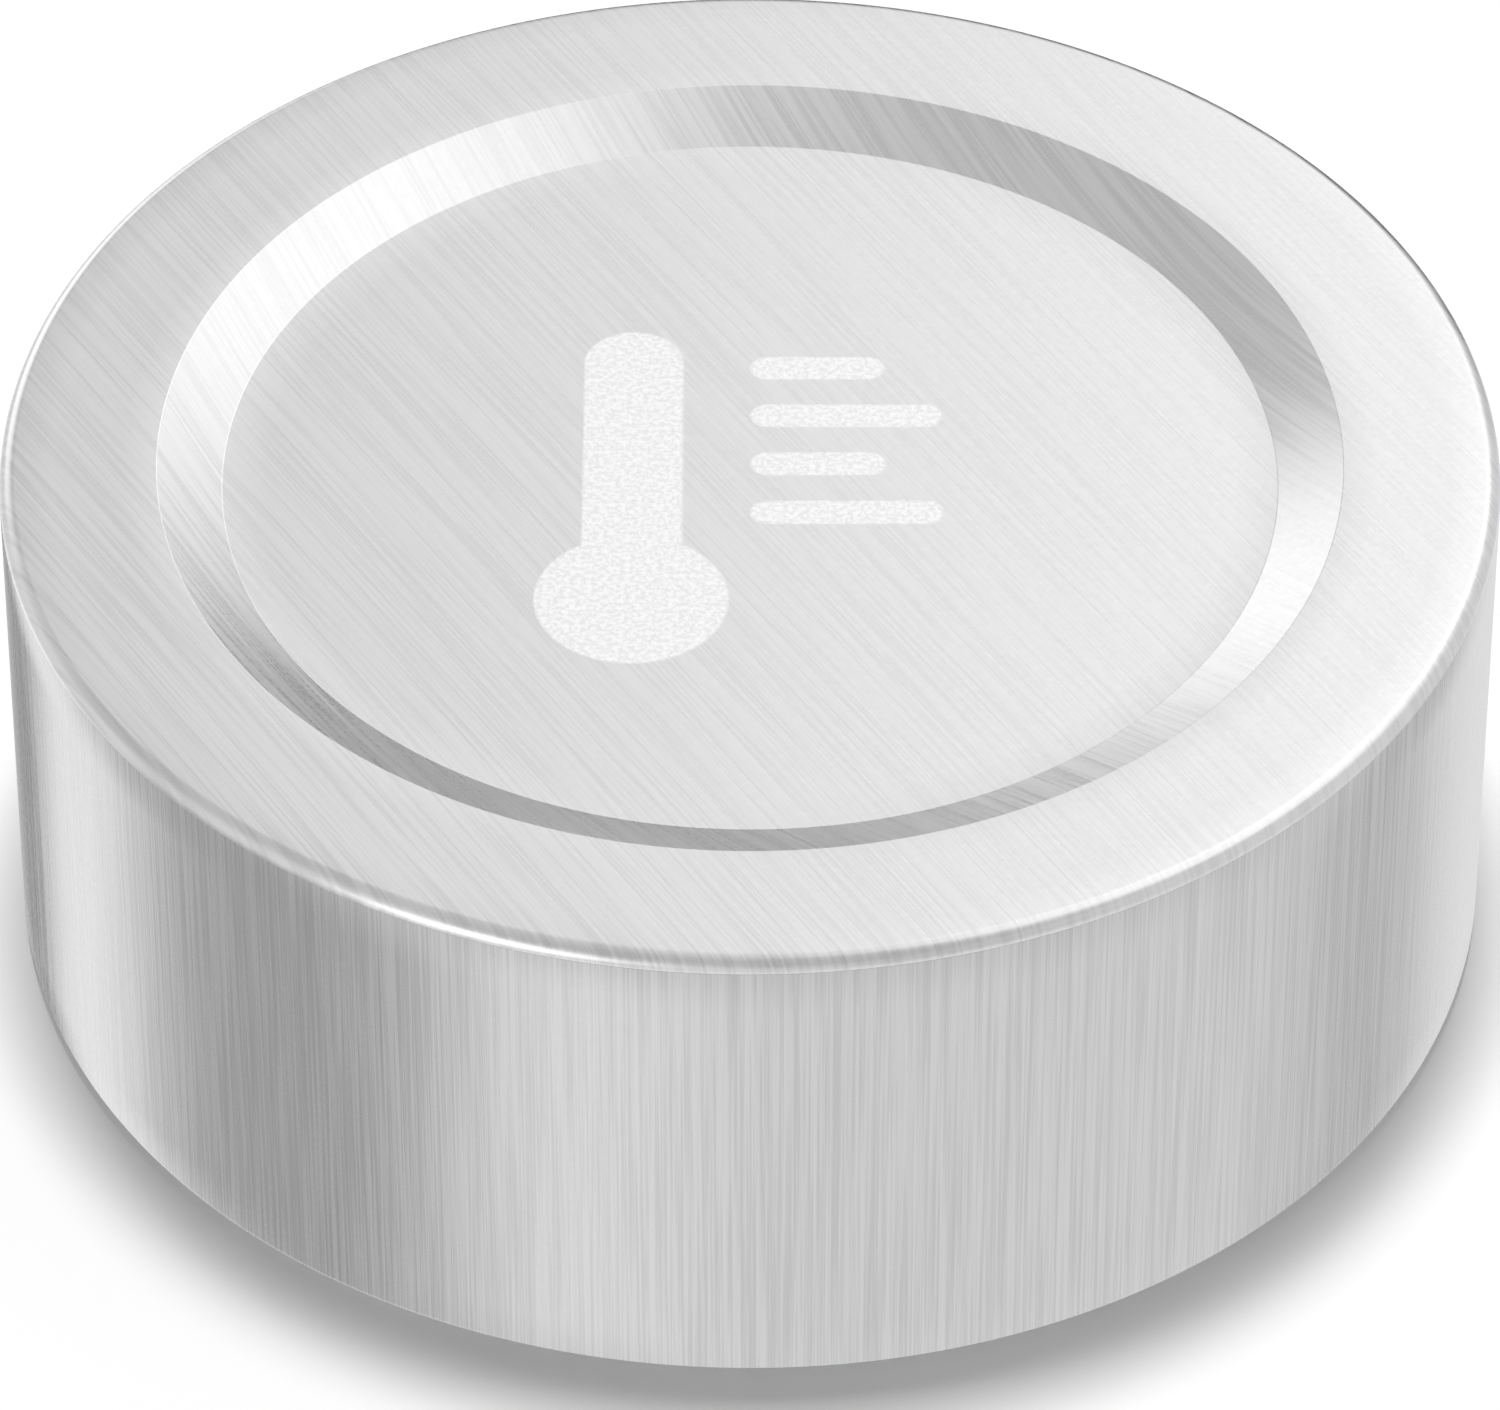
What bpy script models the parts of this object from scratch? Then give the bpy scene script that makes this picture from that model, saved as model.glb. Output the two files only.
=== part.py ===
"""A round wall thermostat: a turned metal dial cap on a head that pulls off its wall plate.

Sizes are in millimetres, and the functions that make shapes turn them into metres.
Z = 0 is the wall face, +Z points into the room, and +Y is up on the wall.
"""

import math

import bmesh
import bpy

MM = 0.001
GAP = 0.3  # between pieces that touch
THROUGH = 1.0  # how far a cutter runs past the face that it cuts
ROOT = 0.4  # how far a joined shape is sunk into the piece that carries it

# Dial cap: the outside of the thermostat
DIAL_R = 42.0
TOP_Z = 31.1
RIM_FILLET = 0.87
RECESS_OUTER_R = 33.2
RECESS_FLOOR_R = 29.6
RECESS_DEPTH = 1.72
CAP_WALL = 1.6
CAP_LOW = 0.6
CAP_EDGE = 0.25
CAP_CORNER = 1.0  # inside, between the skirt and the top
RIM_STEPS = 4

# Press and release travel that the pieces leave room for
PRESS_TRAVEL = 0.3

# Wall plate
PLATE_R = 38.6
PLATE_T = 2.0
SPIGOT_OUTER_R = 36.0
SPIGOT_INNER_R = 34.4
SPIGOT_TOP = 6.0
SCREW_SLOT_Y = 27.0
SCREW_SLOT = (9.0, 4.0)
WIRE_OPENING = 18.0
WIRE_OPENING_CORNER = 3.0
WIRE_OPENING_Y = 2.0
BLIND_HOLE_LOW = 0.6

# Retaining clips, and the notches in the spigot that they stand in
CLIP_ANGLES = (20.0, 160.0, 200.0, 340.0)
CLIP_WIDTH = 6.0
CLIP_T = 0.4
CLIP_NOTCH = (4.0, 7.2, 6.0)
CLIP_FOOT_R = 31.6
CLIP_WALL_R = 35.2
CLIP_GRIP_R = 35.85
CLIP_TIP_R = 35.0

# Spirit level at the top of the plate
VIAL_R = 1.8
VIAL_HALF = 6.2
VIAL_Y = 18.5
VIAL_POST = (1.4, 4.0, 4.2)
VIAL_POST_X = 7.3
VIAL_POST_Z = 3.9

# Terminal board and what stands on it
BOARD_T = 1.6
TERMINAL_BOARD = (56.0, 34.0)
TERMINAL_BOARD_Y = -3.0
TERMINAL_BOARD_CORNER = 4.0
BOARD_SCREW_X = 25.2
BOARD_SCREW_Y = -14.0
BOARD_SCREW_TIP = 0.9
BOARD_SCREW_HEAD = (1.9, 1.2)  # radius and height
BOARD_HOLE_R = 1.3
BLOCK = (13.0, 20.0, 5.5)
BLOCK_X = 18.5
BLOCK_EDGE = 0.3
TABS_PER_BLOCK = 4
TAB_PITCH = 4.6
TAB = (2.6, 2.8, 2.3)
TAB_POCKET = (3.3, 3.5, 2.4)
POCKET_HEIGHT = 4.0  # of the cutter, which stands out of the block
TAB_STANDS = 0.8
TAB_INWARD = 0.5
TAB_EDGE = 0.25
WIRE_HOLE_R = 1.1
WIRE_HOLE_HALF = 5.0
WIRE_HOLE_IN = 3.0
WIRE_HOLE_UP = 1.7
RELAY = (10.0, 6.5, 5.0)
RELAY_X = 17.0
RELAY_Y = -13.6
RELAY_EDGE = 0.25
CONNECTOR_Y = -13.5
SOCKET = (16.0, 5.0, 5.0)
SOCKET_SLOT = (13.2, 2.4, 5.0)
SOCKET_SLOT_UP = 4.6

# Head: chassis, rear cover and main board
CHASSIS_R = 38.0
CHASSIS_INNER_R = 36.4
CHASSIS_LOW = 2.3
DECK_LOW = 18.3
DECK_TOP = 19.8
DECK_BORE_R = 2.4
SCREW_BOSS_R = 2.8
SCREW_HOLE_R = 1.2
SCREW_HOLE_TOP = 16.4
AIR_SLOT = (6.0, 3.2, 3.0)
AIR_SLOT_Z = 15.2
AIR_SLOT_ANGLES = (250.0, 260.0, 270.0, 280.0, 290.0)
COVER_LOW = 11.0
COVER_TOP = 12.2
COVER_R = 36.1
COVER_SCREW_R = 31.5
COVER_SCREW_ANGLES = (45.0, 135.0, 225.0, 315.0)
COVER_SCREW_TIP = 15.8
COVER_SCREW_HEAD = (2.0, 0.9)  # radius and height
CONNECTOR_WINDOW = (17.0, 6.4, 4.0)

# Screws of both kinds
SHANK_R = 0.9
POINT_R = 0.5
POINT_LENGTH = 0.5
HEAD_CORNER = 0.4
DRIVE_REACH = 1.1  # of the head's radius
DRIVE_WIDTH = 0.4
DRIVE_HEIGHT = 0.8

# Main board and what stands on it or hangs under it
MAIN_BOARD_R = 28.0
BATTERY = (26.0, 14.0)
BATTERY_Y = -12.0
BATTERY_TOP = 17.6
BATTERY_CORNER = 1.6
BATTERY_EDGE = 0.3
BUZZER_R = 4.0
BUZZER_HEIGHT = 2.4
BUZZER_AT = (20.5, -1.5)
BUZZER_PORT_R = 0.8
BUZZER_PORT_DEPTH = 1.0
PLUNGER_R = 1.7
PLUNGER_LOW = 17.1
PLUNGER_WELL_R = 2.0
PLUNGER_WELL_LOW = 16.6
PLUG = (15.0, 4.4)
PLUG_DROP = 1.3  # of its body under the cover
TONGUE = (12.4, 1.6, 3.5)
TONGUE_DROP = 1.3

# Spring seat and guide legs of the dial hub
SEAT_INNER_R = 6.6
SEAT_OUTER_R = 9.4
SEAT_DEPTH = 0.6
LEG_R = 20.5
LEG_ANGLES = (90.0, 210.0, 330.0)
LEG = (1.6, 3.2)
LEG_DROP = 1.7  # below the deck
LEG_SLOT = (3.6, 4.2, 4.0)
LEG_SLOT_DOWN = 0.7
LEG_SLOT_OUT = 0.4
HOOK = (1.0, 3.0, 1.2)
HOOK_OUT = 0.9
HOOK_UP = 0.65
HUB_R = 23.5
HUB_LOW = 20.6
HUB_TOP = 22.0
BOSS_INNER_R = 9.0
BOSS_BELOW_RACE = 0.1

# Wave spring between the deck and the hub
SPRING_WAVES = 3
SPRING_FACETS = 36
SPRING_T = 0.22
SPRING_PLAY = 0.05

# Thin ball bearing between the dial hub and the dial carrier
BEARING_LOW = 22.3
BEARING_TOP = 26.3
BORE_R = 12.7
INNER_RACE_R = 14.2
OUTER_RACE_R = 16.0
BEARING_R = 17.5
BALL_R = 1.2
BALL_PATH_R = 15.1
BALL_COUNT = 10
GROOVE_PLAY = 0.07
GROOVE_FLOOR = 0.45  # the groove's flat floor, as a share of its width
CAGE_INSET = 0.1
POCKET_PLAY = 0.2
POCKET_HALF = 2.0

# Dial carrier
CARRIER_BORE_R = 9.5
CARRIER_RIM = 1.9
CARRIER_WEB = 2.0
RACE_COLLAR = 2.0

# Ring gear in the carrier, and the encoder's pinion
MODULE = 1.0
RING_TEETH = 72
PINION_TEETH = 10
GEAR_LOW = 20.7
GEAR_HEIGHT = 3.0
TOOTH_HALF = 0.62
FLANK_SLOPE = math.tan(math.radians(20))
RING_ADDENDUM = 0.65 * MODULE
PINION_ADDENDUM = 0.7 * MODULE
DEDENDUM = 1.1 * MODULE
TEETH_UP = 0.1  # of the ring gear's teeth over the rim's lower face
SHAFT_R = 1.2
SHAFT_LOW = 15.6
SHAFT_HOLE_PLAY = 0.4
ENCODER_ANGLE = 90.0
ENCODER_BODY = (8.0, 6.0, 3.6)
ENCODER_OFFSET = 0.4
ENCODER_BORE_PLAY = 0.3
ENCODER_EDGE = 0.3

ROUND = 64  # facets of the cap
TURNED = 40  # facets of the other large turned pieces
SMALL = 12  # facets of screws, shafts and holes

pinion_pitch_r = MODULE * PINION_TEETH / 2
ring_pitch_r = MODULE * RING_TEETH / 2
encoder_r = ring_pitch_r - pinion_pitch_r
board_low = PLATE_T + GAP
board_top = board_low + BOARD_T
block_low = board_top + GAP
block_top = block_low + BLOCK[2]
main_low = COVER_TOP + GAP
main_top = main_low + BOARD_T
parts_low = main_top + GAP

for old in list(bpy.data.objects):
    bpy.data.objects.remove(old, do_unlink=True)

parts = bpy.data.collections.new("wall_thermostat")
cutters = bpy.data.collections.new("cutters")
bpy.context.scene.collection.children.link(parts)
bpy.context.scene.collection.children.link(cutters)


def material(name, colour, roughness, metallic=0.0, alpha=1.0):
    made = bpy.data.materials.new(name)
    made.use_nodes = True
    shader = made.node_tree.nodes["Principled BSDF"]
    shader.inputs["Base Color"].default_value = (*colour, 1.0)
    shader.inputs["Roughness"].default_value = roughness
    shader.inputs["Metallic"].default_value = metallic
    shader.inputs["Alpha"].default_value = alpha
    return made


def place(name, mesh, surface, collection=parts):
    """Puts a mesh in a collection under its name, with its material."""
    made = bpy.data.objects.new(name, mesh)
    collection.objects.link(made)
    if surface:
        mesh.materials.append(surface)
    if collection is cutters:
        made.hide_render = True
        made.display_type = "WIRE"
    return made


def smooth(made, angle=35.0):
    made.data.shade_smooth()
    made.data.set_sharp_from_angle(angle=math.radians(angle))


def box(name, size, centre, surface=None, collection=parts, bevel=0.0, turn=0.0):
    """A box whose edges can be bevelled, turned about its own upright axis."""
    mesh = bpy.data.meshes.new(name)
    shape = bmesh.new()
    bmesh.ops.create_cube(shape, size=1.0)
    bmesh.ops.scale(shape, vec=[side * MM for side in size], verts=shape.verts)
    shape.to_mesh(mesh)
    shape.free()
    made = place(name, mesh, surface, collection)
    made.location = [value * MM for value in centre]
    made.rotation_euler.z = math.radians(turn)
    if bevel:
        edge = made.modifiers.new("edges", "BEVEL")
        edge.width = bevel * MM
        edge.segments = 1
    return made


def cylinder(name, radius, low, high, at=(0.0, 0.0), surface=None, collection=parts, facets=SMALL):
    mesh = bpy.data.meshes.new(name)
    shape = bmesh.new()
    bmesh.ops.create_cone(
        shape,
        cap_ends=True,
        segments=facets,
        radius1=radius * MM,
        radius2=radius * MM,
        depth=(high - low) * MM,
    )
    shape.to_mesh(mesh)
    shape.free()
    made = place(name, mesh, surface, collection)
    made.location = (at[0] * MM, at[1] * MM, (low + high) / 2 * MM)
    smooth(made)
    return made


def turned(name, profile, surface=None, collection=parts, facets=TURNED):
    """A profile of (radius, height) turned about Z; it runs down its outer side."""
    solid = profile[0][0] == 0.0
    count = len(profile)
    mesh = bpy.data.meshes.new(name)
    points = [(radius * MM, 0.0, height * MM) for radius, height in profile]
    edges = [(i, i + 1) for i in range(count - 1)]
    if not solid:
        edges.append((count - 1, 0))
    mesh.from_pydata(points, edges, [])
    made = place(name, mesh, surface, collection)
    screw = made.modifiers.new("turn", "SCREW")
    screw.steps = facets
    screw.render_steps = facets
    screw.use_merge_vertices = True
    screw.merge_threshold = 0.00001
    screw.use_smooth_shade = True
    return made


def flat(name, outlines, low, high, surface=None, collection=parts):
    """Flat outlines given an even thickness; an outline inside another is a hole."""
    curve = bpy.data.curves.new(name, "CURVE")
    curve.dimensions = "2D"
    curve.fill_mode = "BOTH"
    curve.extrude = (high - low) / 2 * MM
    for outline in outlines:
        spline = curve.splines.new("POLY")
        spline.points.add(len(outline) - 1)
        for point, (x, y) in zip(spline.points, outline):
            point.co = (x * MM, y * MM, 0.0, 1.0)
        spline.use_cyclic_u = True
    drawn = bpy.data.objects.new(name + "_outline", curve)
    bpy.context.scene.collection.objects.link(drawn)
    graph = bpy.context.evaluated_depsgraph_get()
    mesh = bpy.data.meshes.new_from_object(drawn.evaluated_get(graph))
    bpy.data.objects.remove(drawn, do_unlink=True)
    shape = bmesh.new()
    shape.from_mesh(mesh)
    bmesh.ops.remove_doubles(shape, verts=shape.verts, dist=0.000001)
    bmesh.ops.recalc_face_normals(shape, faces=shape.faces)
    shape.to_mesh(mesh)
    shape.free()
    made = place(name, mesh, surface, collection)
    made.location.z = (low + high) / 2 * MM
    return made


def rounded(width, height, radius, centre=(0.0, 0.0), steps=4):
    """The outline of a rectangle with round corners."""
    outline = []
    for corner, (sx, sy) in enumerate(((1, 1), (-1, 1), (-1, -1), (1, -1))):
        cx = centre[0] + sx * (width / 2 - radius)
        cy = centre[1] + sy * (height / 2 - radius)
        for step in range(steps + 1):
            angle = math.pi / 2 * (corner + step / steps)
            outline.append((cx + radius * math.cos(angle), cy + radius * math.sin(angle)))
    return outline


def ring(radius, facets, centre=(0.0, 0.0)):
    """The outline of a circle."""
    angles = [2 * math.pi * i / facets for i in range(facets)]
    return [(centre[0] + radius * math.cos(a), centre[1] + radius * math.sin(a)) for a in angles]


def polar(radius, degrees):
    angle = math.radians(degrees)
    return radius * math.cos(angle), radius * math.sin(angle)


def cut(target, tool):
    """Takes the tool's shape out of the target."""
    step = target.modifiers.new("cut_" + tool.name, "BOOLEAN")
    step.operation = "DIFFERENCE"
    step.solver = "EXACT"
    step.object = tool


def join(target, tool):
    """Adds the tool's shape to the target, as one body."""
    step = target.modifiers.new("join_" + tool.name, "BOOLEAN")
    step.operation = "UNION"
    step.solver = "EXACT"
    step.object = tool


def gear_outline(teeth, pitch_r, addendum, dedendum, first=0.0):
    """Straight-sided teeth; a negative addendum points them inwards, as in a ring gear."""
    inward = -1.0 if addendum < 0 else 1.0
    tip_r = pitch_r + addendum
    root_r = pitch_r - inward * dedendum
    tip_half = (TOOTH_HALF - abs(addendum) * FLANK_SLOPE) / tip_r
    root_half = (TOOTH_HALF + dedendum * FLANK_SLOPE) / root_r
    outline = []
    for tooth in range(teeth):
        middle = math.radians(first) + 2 * math.pi * tooth / teeth
        corners = ((root_r, -root_half), (tip_r, -tip_half), (tip_r, tip_half), (root_r, root_half))
        for radius, half in corners:
            angle = middle + half
            outline.append((radius * math.cos(angle), radius * math.sin(angle)))
    return outline


# Materials
brushed = material("dial_metal", (0.86, 0.865, 0.87), 0.3, 1.0)
white_plastic = material("white_plastic", (0.82, 0.82, 0.81), 0.5)
grey_plastic = material("grey_plastic", (0.5, 0.51, 0.52), 0.5)
black_plastic = material("black_plastic", (0.03, 0.03, 0.032), 0.45)
nylon = material("carrier_nylon", (0.72, 0.72, 0.7), 0.55)
acetal = material("gear_acetal", (0.9, 0.9, 0.87), 0.4)
circuit = material("circuit_board", (0.02, 0.16, 0.07), 0.4)
spring_steel = material("spring_steel", (0.62, 0.62, 0.63), 0.3, 1.0)
race_steel = material("race_steel", (0.7, 0.7, 0.71), 0.15, 1.0)
ball_steel = material("ball_steel", (0.8, 0.8, 0.81), 0.06, 1.0)
cage_brass = material("cage_brass", (0.78, 0.6, 0.28), 0.3, 1.0)
screw_zinc = material("screw_zinc", (0.68, 0.68, 0.66), 0.3, 1.0)
shield_tin = material("shield_tin", (0.75, 0.76, 0.75), 0.28, 1.0)
relay_plastic = material("relay_plastic", (0.04, 0.07, 0.12), 0.4)
battery_film = material("battery_film", (0.35, 0.37, 0.4), 0.35)
tab_orange = material("tab_plastic", (0.8, 0.34, 0.08), 0.45)
vial_fill = material("vial_fluid", (0.6, 0.85, 0.2), 0.05, 0.0, 0.6)


def make_dial_cap():
    """The one-piece turned cap: flat ring, sloping recess wall, flat disc and straight skirt."""
    floor_z = TOP_Z - RECESS_DEPTH
    inner_r = DIAL_R - CAP_WALL
    profile = [
        (0.0, floor_z),
        (RECESS_FLOOR_R, floor_z),
        (RECESS_OUTER_R, TOP_Z),
    ]
    for step in range(RIM_STEPS + 1):
        angle = math.pi / 2 * (1 - step / RIM_STEPS)
        profile.append((
            DIAL_R - RIM_FILLET + RIM_FILLET * math.cos(angle),
            TOP_Z - RIM_FILLET + RIM_FILLET * math.sin(angle),
        ))
    profile += [
        (DIAL_R, CAP_LOW + CAP_EDGE),
        (DIAL_R - CAP_EDGE, CAP_LOW),
        (inner_r, CAP_LOW),
        (inner_r, TOP_Z - CAP_WALL - CAP_CORNER),
        (inner_r - CAP_CORNER, TOP_Z - CAP_WALL),
        (RECESS_OUTER_R + CAP_CORNER, TOP_Z - CAP_WALL),
        (RECESS_FLOOR_R + CAP_CORNER, floor_z - CAP_WALL),
        (0.0, floor_z - CAP_WALL),
    ]
    return turned("dial_cap", profile, brushed, facets=ROUND)


def make_dial_carrier():
    """The moulded disc bonded in the cap: it holds the bearing and has the ring gear."""
    top = TOP_Z - RECESS_DEPTH - CAP_WALL - GAP
    outer = DIAL_R - CAP_WALL - GAP
    race_r = BEARING_R + GAP
    collar_r = race_r + RACE_COLLAR
    rim_r = outer - CARRIER_RIM
    web_low = top - CARRIER_WEB
    carrier = turned("dial_carrier", [
        (CARRIER_BORE_R, top),
        (outer, top),
        (outer, GEAR_LOW),
        (rim_r, GEAR_LOW),
        (rim_r, web_low),
        (collar_r, web_low),
        (collar_r, BEARING_LOW),
        (race_r, BEARING_LOW),
        (race_r, BEARING_TOP + GAP),
        (CARRIER_BORE_R, BEARING_TOP + GAP),
    ], nylon)
    half_tooth_angle = 180.0 / RING_TEETH
    teeth = gear_outline(RING_TEETH, ring_pitch_r, -RING_ADDENDUM, DEDENDUM, half_tooth_angle)
    gear = flat(
        "ring_gear_teeth",
        [ring(outer - CARRIER_RIM / 2, TURNED), teeth],
        GEAR_LOW + TEETH_UP,
        GEAR_LOW + GEAR_HEIGHT,
        collection=cutters,
    )
    join(carrier, gear)
    return carrier


def race_profile(wall_r, back_r, groove_r):
    """A bearing race's section, with an arc-shaped ball groove in the wall at wall_r."""
    middle = (BEARING_LOW + BEARING_TOP) / 2
    outward = back_r > wall_r
    reach = abs(groove_r - wall_r)
    groove_radius = BALL_R + GROOVE_PLAY
    half = math.sqrt(groove_radius ** 2 - (groove_radius - reach) ** 2)
    floor = half * GROOVE_FLOOR
    groove = [(wall_r, half), (groove_r, floor), (groove_r, -floor), (wall_r, -half)]
    if outward:
        groove = [(radius, -height) for radius, height in groove]
        profile = [(wall_r, BEARING_TOP), (back_r, BEARING_TOP), (back_r, BEARING_LOW), (wall_r, BEARING_LOW)]
        return profile + [(radius, middle + height) for radius, height in groove]
    wall = [(wall_r, BEARING_TOP)] + [(radius, middle + height) for radius, height in groove]
    return [(back_r, BEARING_TOP)] + wall + [(wall_r, BEARING_LOW), (back_r, BEARING_LOW)]


def make_bearing():
    """The two races, the cage and its balls."""
    inner_groove = BALL_PATH_R - BALL_R - GROOVE_PLAY
    outer_groove = BALL_PATH_R + BALL_R + GROOVE_PLAY
    turned("bearing_inner_race", race_profile(INNER_RACE_R, BORE_R, inner_groove), race_steel)
    turned("bearing_outer_race", race_profile(OUTER_RACE_R, BEARING_R, outer_groove), race_steel)
    middle = (BEARING_LOW + BEARING_TOP) / 2
    low = BEARING_LOW + CAGE_INSET
    high = BEARING_TOP - CAGE_INSET
    inner = INNER_RACE_R + GAP
    outer = OUTER_RACE_R - GAP
    section = [(inner, high), (outer, high), (outer, low), (inner, low)]
    cage = turned("bearing_cage", section, cage_brass)
    for i in range(BALL_COUNT):
        angle = 360.0 * i / BALL_COUNT
        x, y = polar(BALL_PATH_R, angle)
        pocket = cylinder(
            f"ball_pocket_{i + 1}", BALL_R + POCKET_PLAY, -POCKET_HALF, POCKET_HALF, collection=cutters
        )
        pocket.rotation_euler = (0.0, math.pi / 2, math.radians(angle))
        pocket.location = (x * MM, y * MM, middle * MM)
        cut(cage, pocket)
        mesh = bpy.data.meshes.new(f"bearing_ball_{i + 1}")
        shape = bmesh.new()
        bmesh.ops.create_icosphere(shape, subdivisions=2, radius=BALL_R * MM)
        shape.to_mesh(mesh)
        shape.free()
        ball = place(f"bearing_ball_{i + 1}", mesh, ball_steel)
        ball.location = (x * MM, y * MM, middle * MM)
        smooth(ball, 60.0)


def make_dial_hub():
    """The plate that the dial presses down, with the bearing's boss and three hooked guide legs."""
    boss_r = BORE_R - GAP
    boss_top = BEARING_TOP - BOSS_BELOW_RACE
    hub = turned("dial_hub", [
        (0.0, HUB_TOP),
        (BOSS_INNER_R, HUB_TOP),
        (BOSS_INNER_R, boss_top),
        (boss_r, boss_top),
        (boss_r, HUB_TOP),
        (HUB_R, HUB_TOP),
        (HUB_R, HUB_LOW),
        (0.0, HUB_LOW),
    ], white_plastic)
    leg_low = DECK_LOW - LEG_DROP
    height = HUB_LOW + ROOT - leg_low
    for i, angle in enumerate(LEG_ANGLES):
        x, y = polar(LEG_R, angle)
        leg = box(f"guide_leg_{i + 1}", (*LEG, height), (x, y, leg_low + height / 2), collection=cutters,
                  turn=angle)
        x, y = polar(LEG_R + HOOK_OUT, angle)
        hook = box(f"leg_hook_{i + 1}", HOOK, (x, y, leg_low + HOOK_UP), collection=cutters, turn=angle)
        join(hub, leg)
        join(hub, hook)
    return hub


def make_wave_spring():
    """A flat spring washer with three waves, between the deck's seat and the hub."""
    low = DECK_TOP - SEAT_DEPTH + GAP
    high = HUB_LOW - PRESS_TRAVEL - SPRING_PLAY
    mesh = bpy.data.meshes.new("wave_spring")
    shape = bmesh.new()
    inner = shape.verts.new(((SEAT_INNER_R + GAP) * MM, 0.0, 0.0))
    outer = shape.verts.new(((SEAT_OUTER_R - GAP) * MM, 0.0, 0.0))
    edge = shape.edges.new((inner, outer))
    bmesh.ops.spin(
        shape,
        geom=[inner, outer, edge],
        cent=(0.0, 0.0, 0.0),
        axis=(0.0, 0.0, 1.0),
        angle=2 * math.pi,
        steps=SPRING_FACETS,
        use_merge=True,
    )
    bmesh.ops.remove_doubles(shape, verts=shape.verts, dist=0.000001)
    middle = (low + high) / 2
    swing = (high - low - SPRING_T) / 2
    for vert in shape.verts:
        angle = math.atan2(vert.co.y, vert.co.x)
        vert.co.z = (middle + swing * math.sin(SPRING_WAVES * angle)) * MM
    shape.to_mesh(mesh)
    shape.free()
    spring = place("wave_spring", mesh, spring_steel)
    thick = spring.modifiers.new("thickness", "SOLIDIFY")
    thick.thickness = SPRING_T * MM
    thick.offset = 0.0
    smooth(spring)


def make_chassis():
    """The head's frame: an upper deck, a skirt round the electronics, and four screw bosses."""
    chassis = turned("chassis", [
        (DECK_BORE_R, DECK_TOP),
        (SEAT_INNER_R, DECK_TOP),
        (SEAT_INNER_R, DECK_TOP - SEAT_DEPTH),
        (SEAT_OUTER_R, DECK_TOP - SEAT_DEPTH),
        (SEAT_OUTER_R, DECK_TOP),
        (CHASSIS_R, DECK_TOP),
        (CHASSIS_R, CHASSIS_LOW),
        (CHASSIS_INNER_R, CHASSIS_LOW),
        (CHASSIS_INNER_R, DECK_LOW),
        (DECK_BORE_R, DECK_LOW),
    ], white_plastic)
    for i, angle in enumerate(COVER_SCREW_ANGLES):
        at = polar(COVER_SCREW_R, angle)
        boss = cylinder(f"boss_{i + 1}", SCREW_BOSS_R, main_low, DECK_LOW + ROOT, at, collection=cutters)
        hole = cylinder(f"boss_hole_{i + 1}", SCREW_HOLE_R, main_low - THROUGH, SCREW_HOLE_TOP, at,
                        collection=cutters)
        join(chassis, boss)
        cut(chassis, hole)
    for i, angle in enumerate(LEG_ANGLES):
        x, y = polar(LEG_R + LEG_SLOT_OUT, angle)
        slot = box(f"leg_slot_{i + 1}", LEG_SLOT, (x, y, DECK_TOP - LEG_SLOT_DOWN), collection=cutters,
                   turn=angle)
        cut(chassis, slot)
    shaft_at = polar(encoder_r, ENCODER_ANGLE)
    cut(chassis, cylinder("shaft_hole", SHAFT_R + SHAFT_HOLE_PLAY, DECK_LOW - THROUGH, DECK_TOP + THROUGH,
                          shaft_at, collection=cutters))
    for i, angle in enumerate(AIR_SLOT_ANGLES):
        x, y = polar((CHASSIS_R + CHASSIS_INNER_R) / 2, angle)
        slot = box(f"air_slot_{i + 1}", AIR_SLOT, (x, y, AIR_SLOT_Z), collection=cutters, turn=angle)
        cut(chassis, slot)
    return chassis


def make_rear_cover():
    cover = turned("rear_cover", [
        (0.0, COVER_TOP),
        (COVER_R, COVER_TOP),
        (COVER_R, COVER_LOW),
        (0.0, COVER_LOW),
    ], white_plastic)
    window = box("connector_window", CONNECTOR_WINDOW, (0.0, CONNECTOR_Y, COVER_LOW), collection=cutters)
    cut(cover, window)
    for i, angle in enumerate(COVER_SCREW_ANGLES):
        at = polar(COVER_SCREW_R, angle)
        hole = cylinder(f"cover_hole_{i + 1}", SCREW_HOLE_R, COVER_LOW - THROUGH, COVER_TOP + THROUGH, at,
                        collection=cutters)
        cut(cover, hole)
    return cover


def make_screw(name, at, seat, tip, head):
    """A pan-head screw; the head's flat side is at seat, and the shank runs to tip."""
    head_r, head_height = head
    up = 1.0 if seat > tip else -1.0
    head_top = seat + up * head_height
    section = [
        (0.0, head_top),
        (head_r - HEAD_CORNER, head_top),
        (head_r, head_top - up * HEAD_CORNER),
        (head_r, seat),
        (SHANK_R, seat),
        (SHANK_R, tip + up * POINT_LENGTH),
        (POINT_R, tip),
        (0.0, tip),
    ]
    if up < 0:
        section.reverse()
    screw = turned(name, section, screw_zinc, facets=SMALL)
    screw.location = (at[0] * MM, at[1] * MM, 0.0)
    drive = (head_r * DRIVE_REACH, DRIVE_WIDTH, DRIVE_HEIGHT)
    for i, turn in enumerate((45.0, 135.0)):
        slot = box(f"{name}_drive_{i + 1}", drive, (*at, head_top), collection=cutters, turn=turn)
        cut(screw, slot)
    return screw


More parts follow.
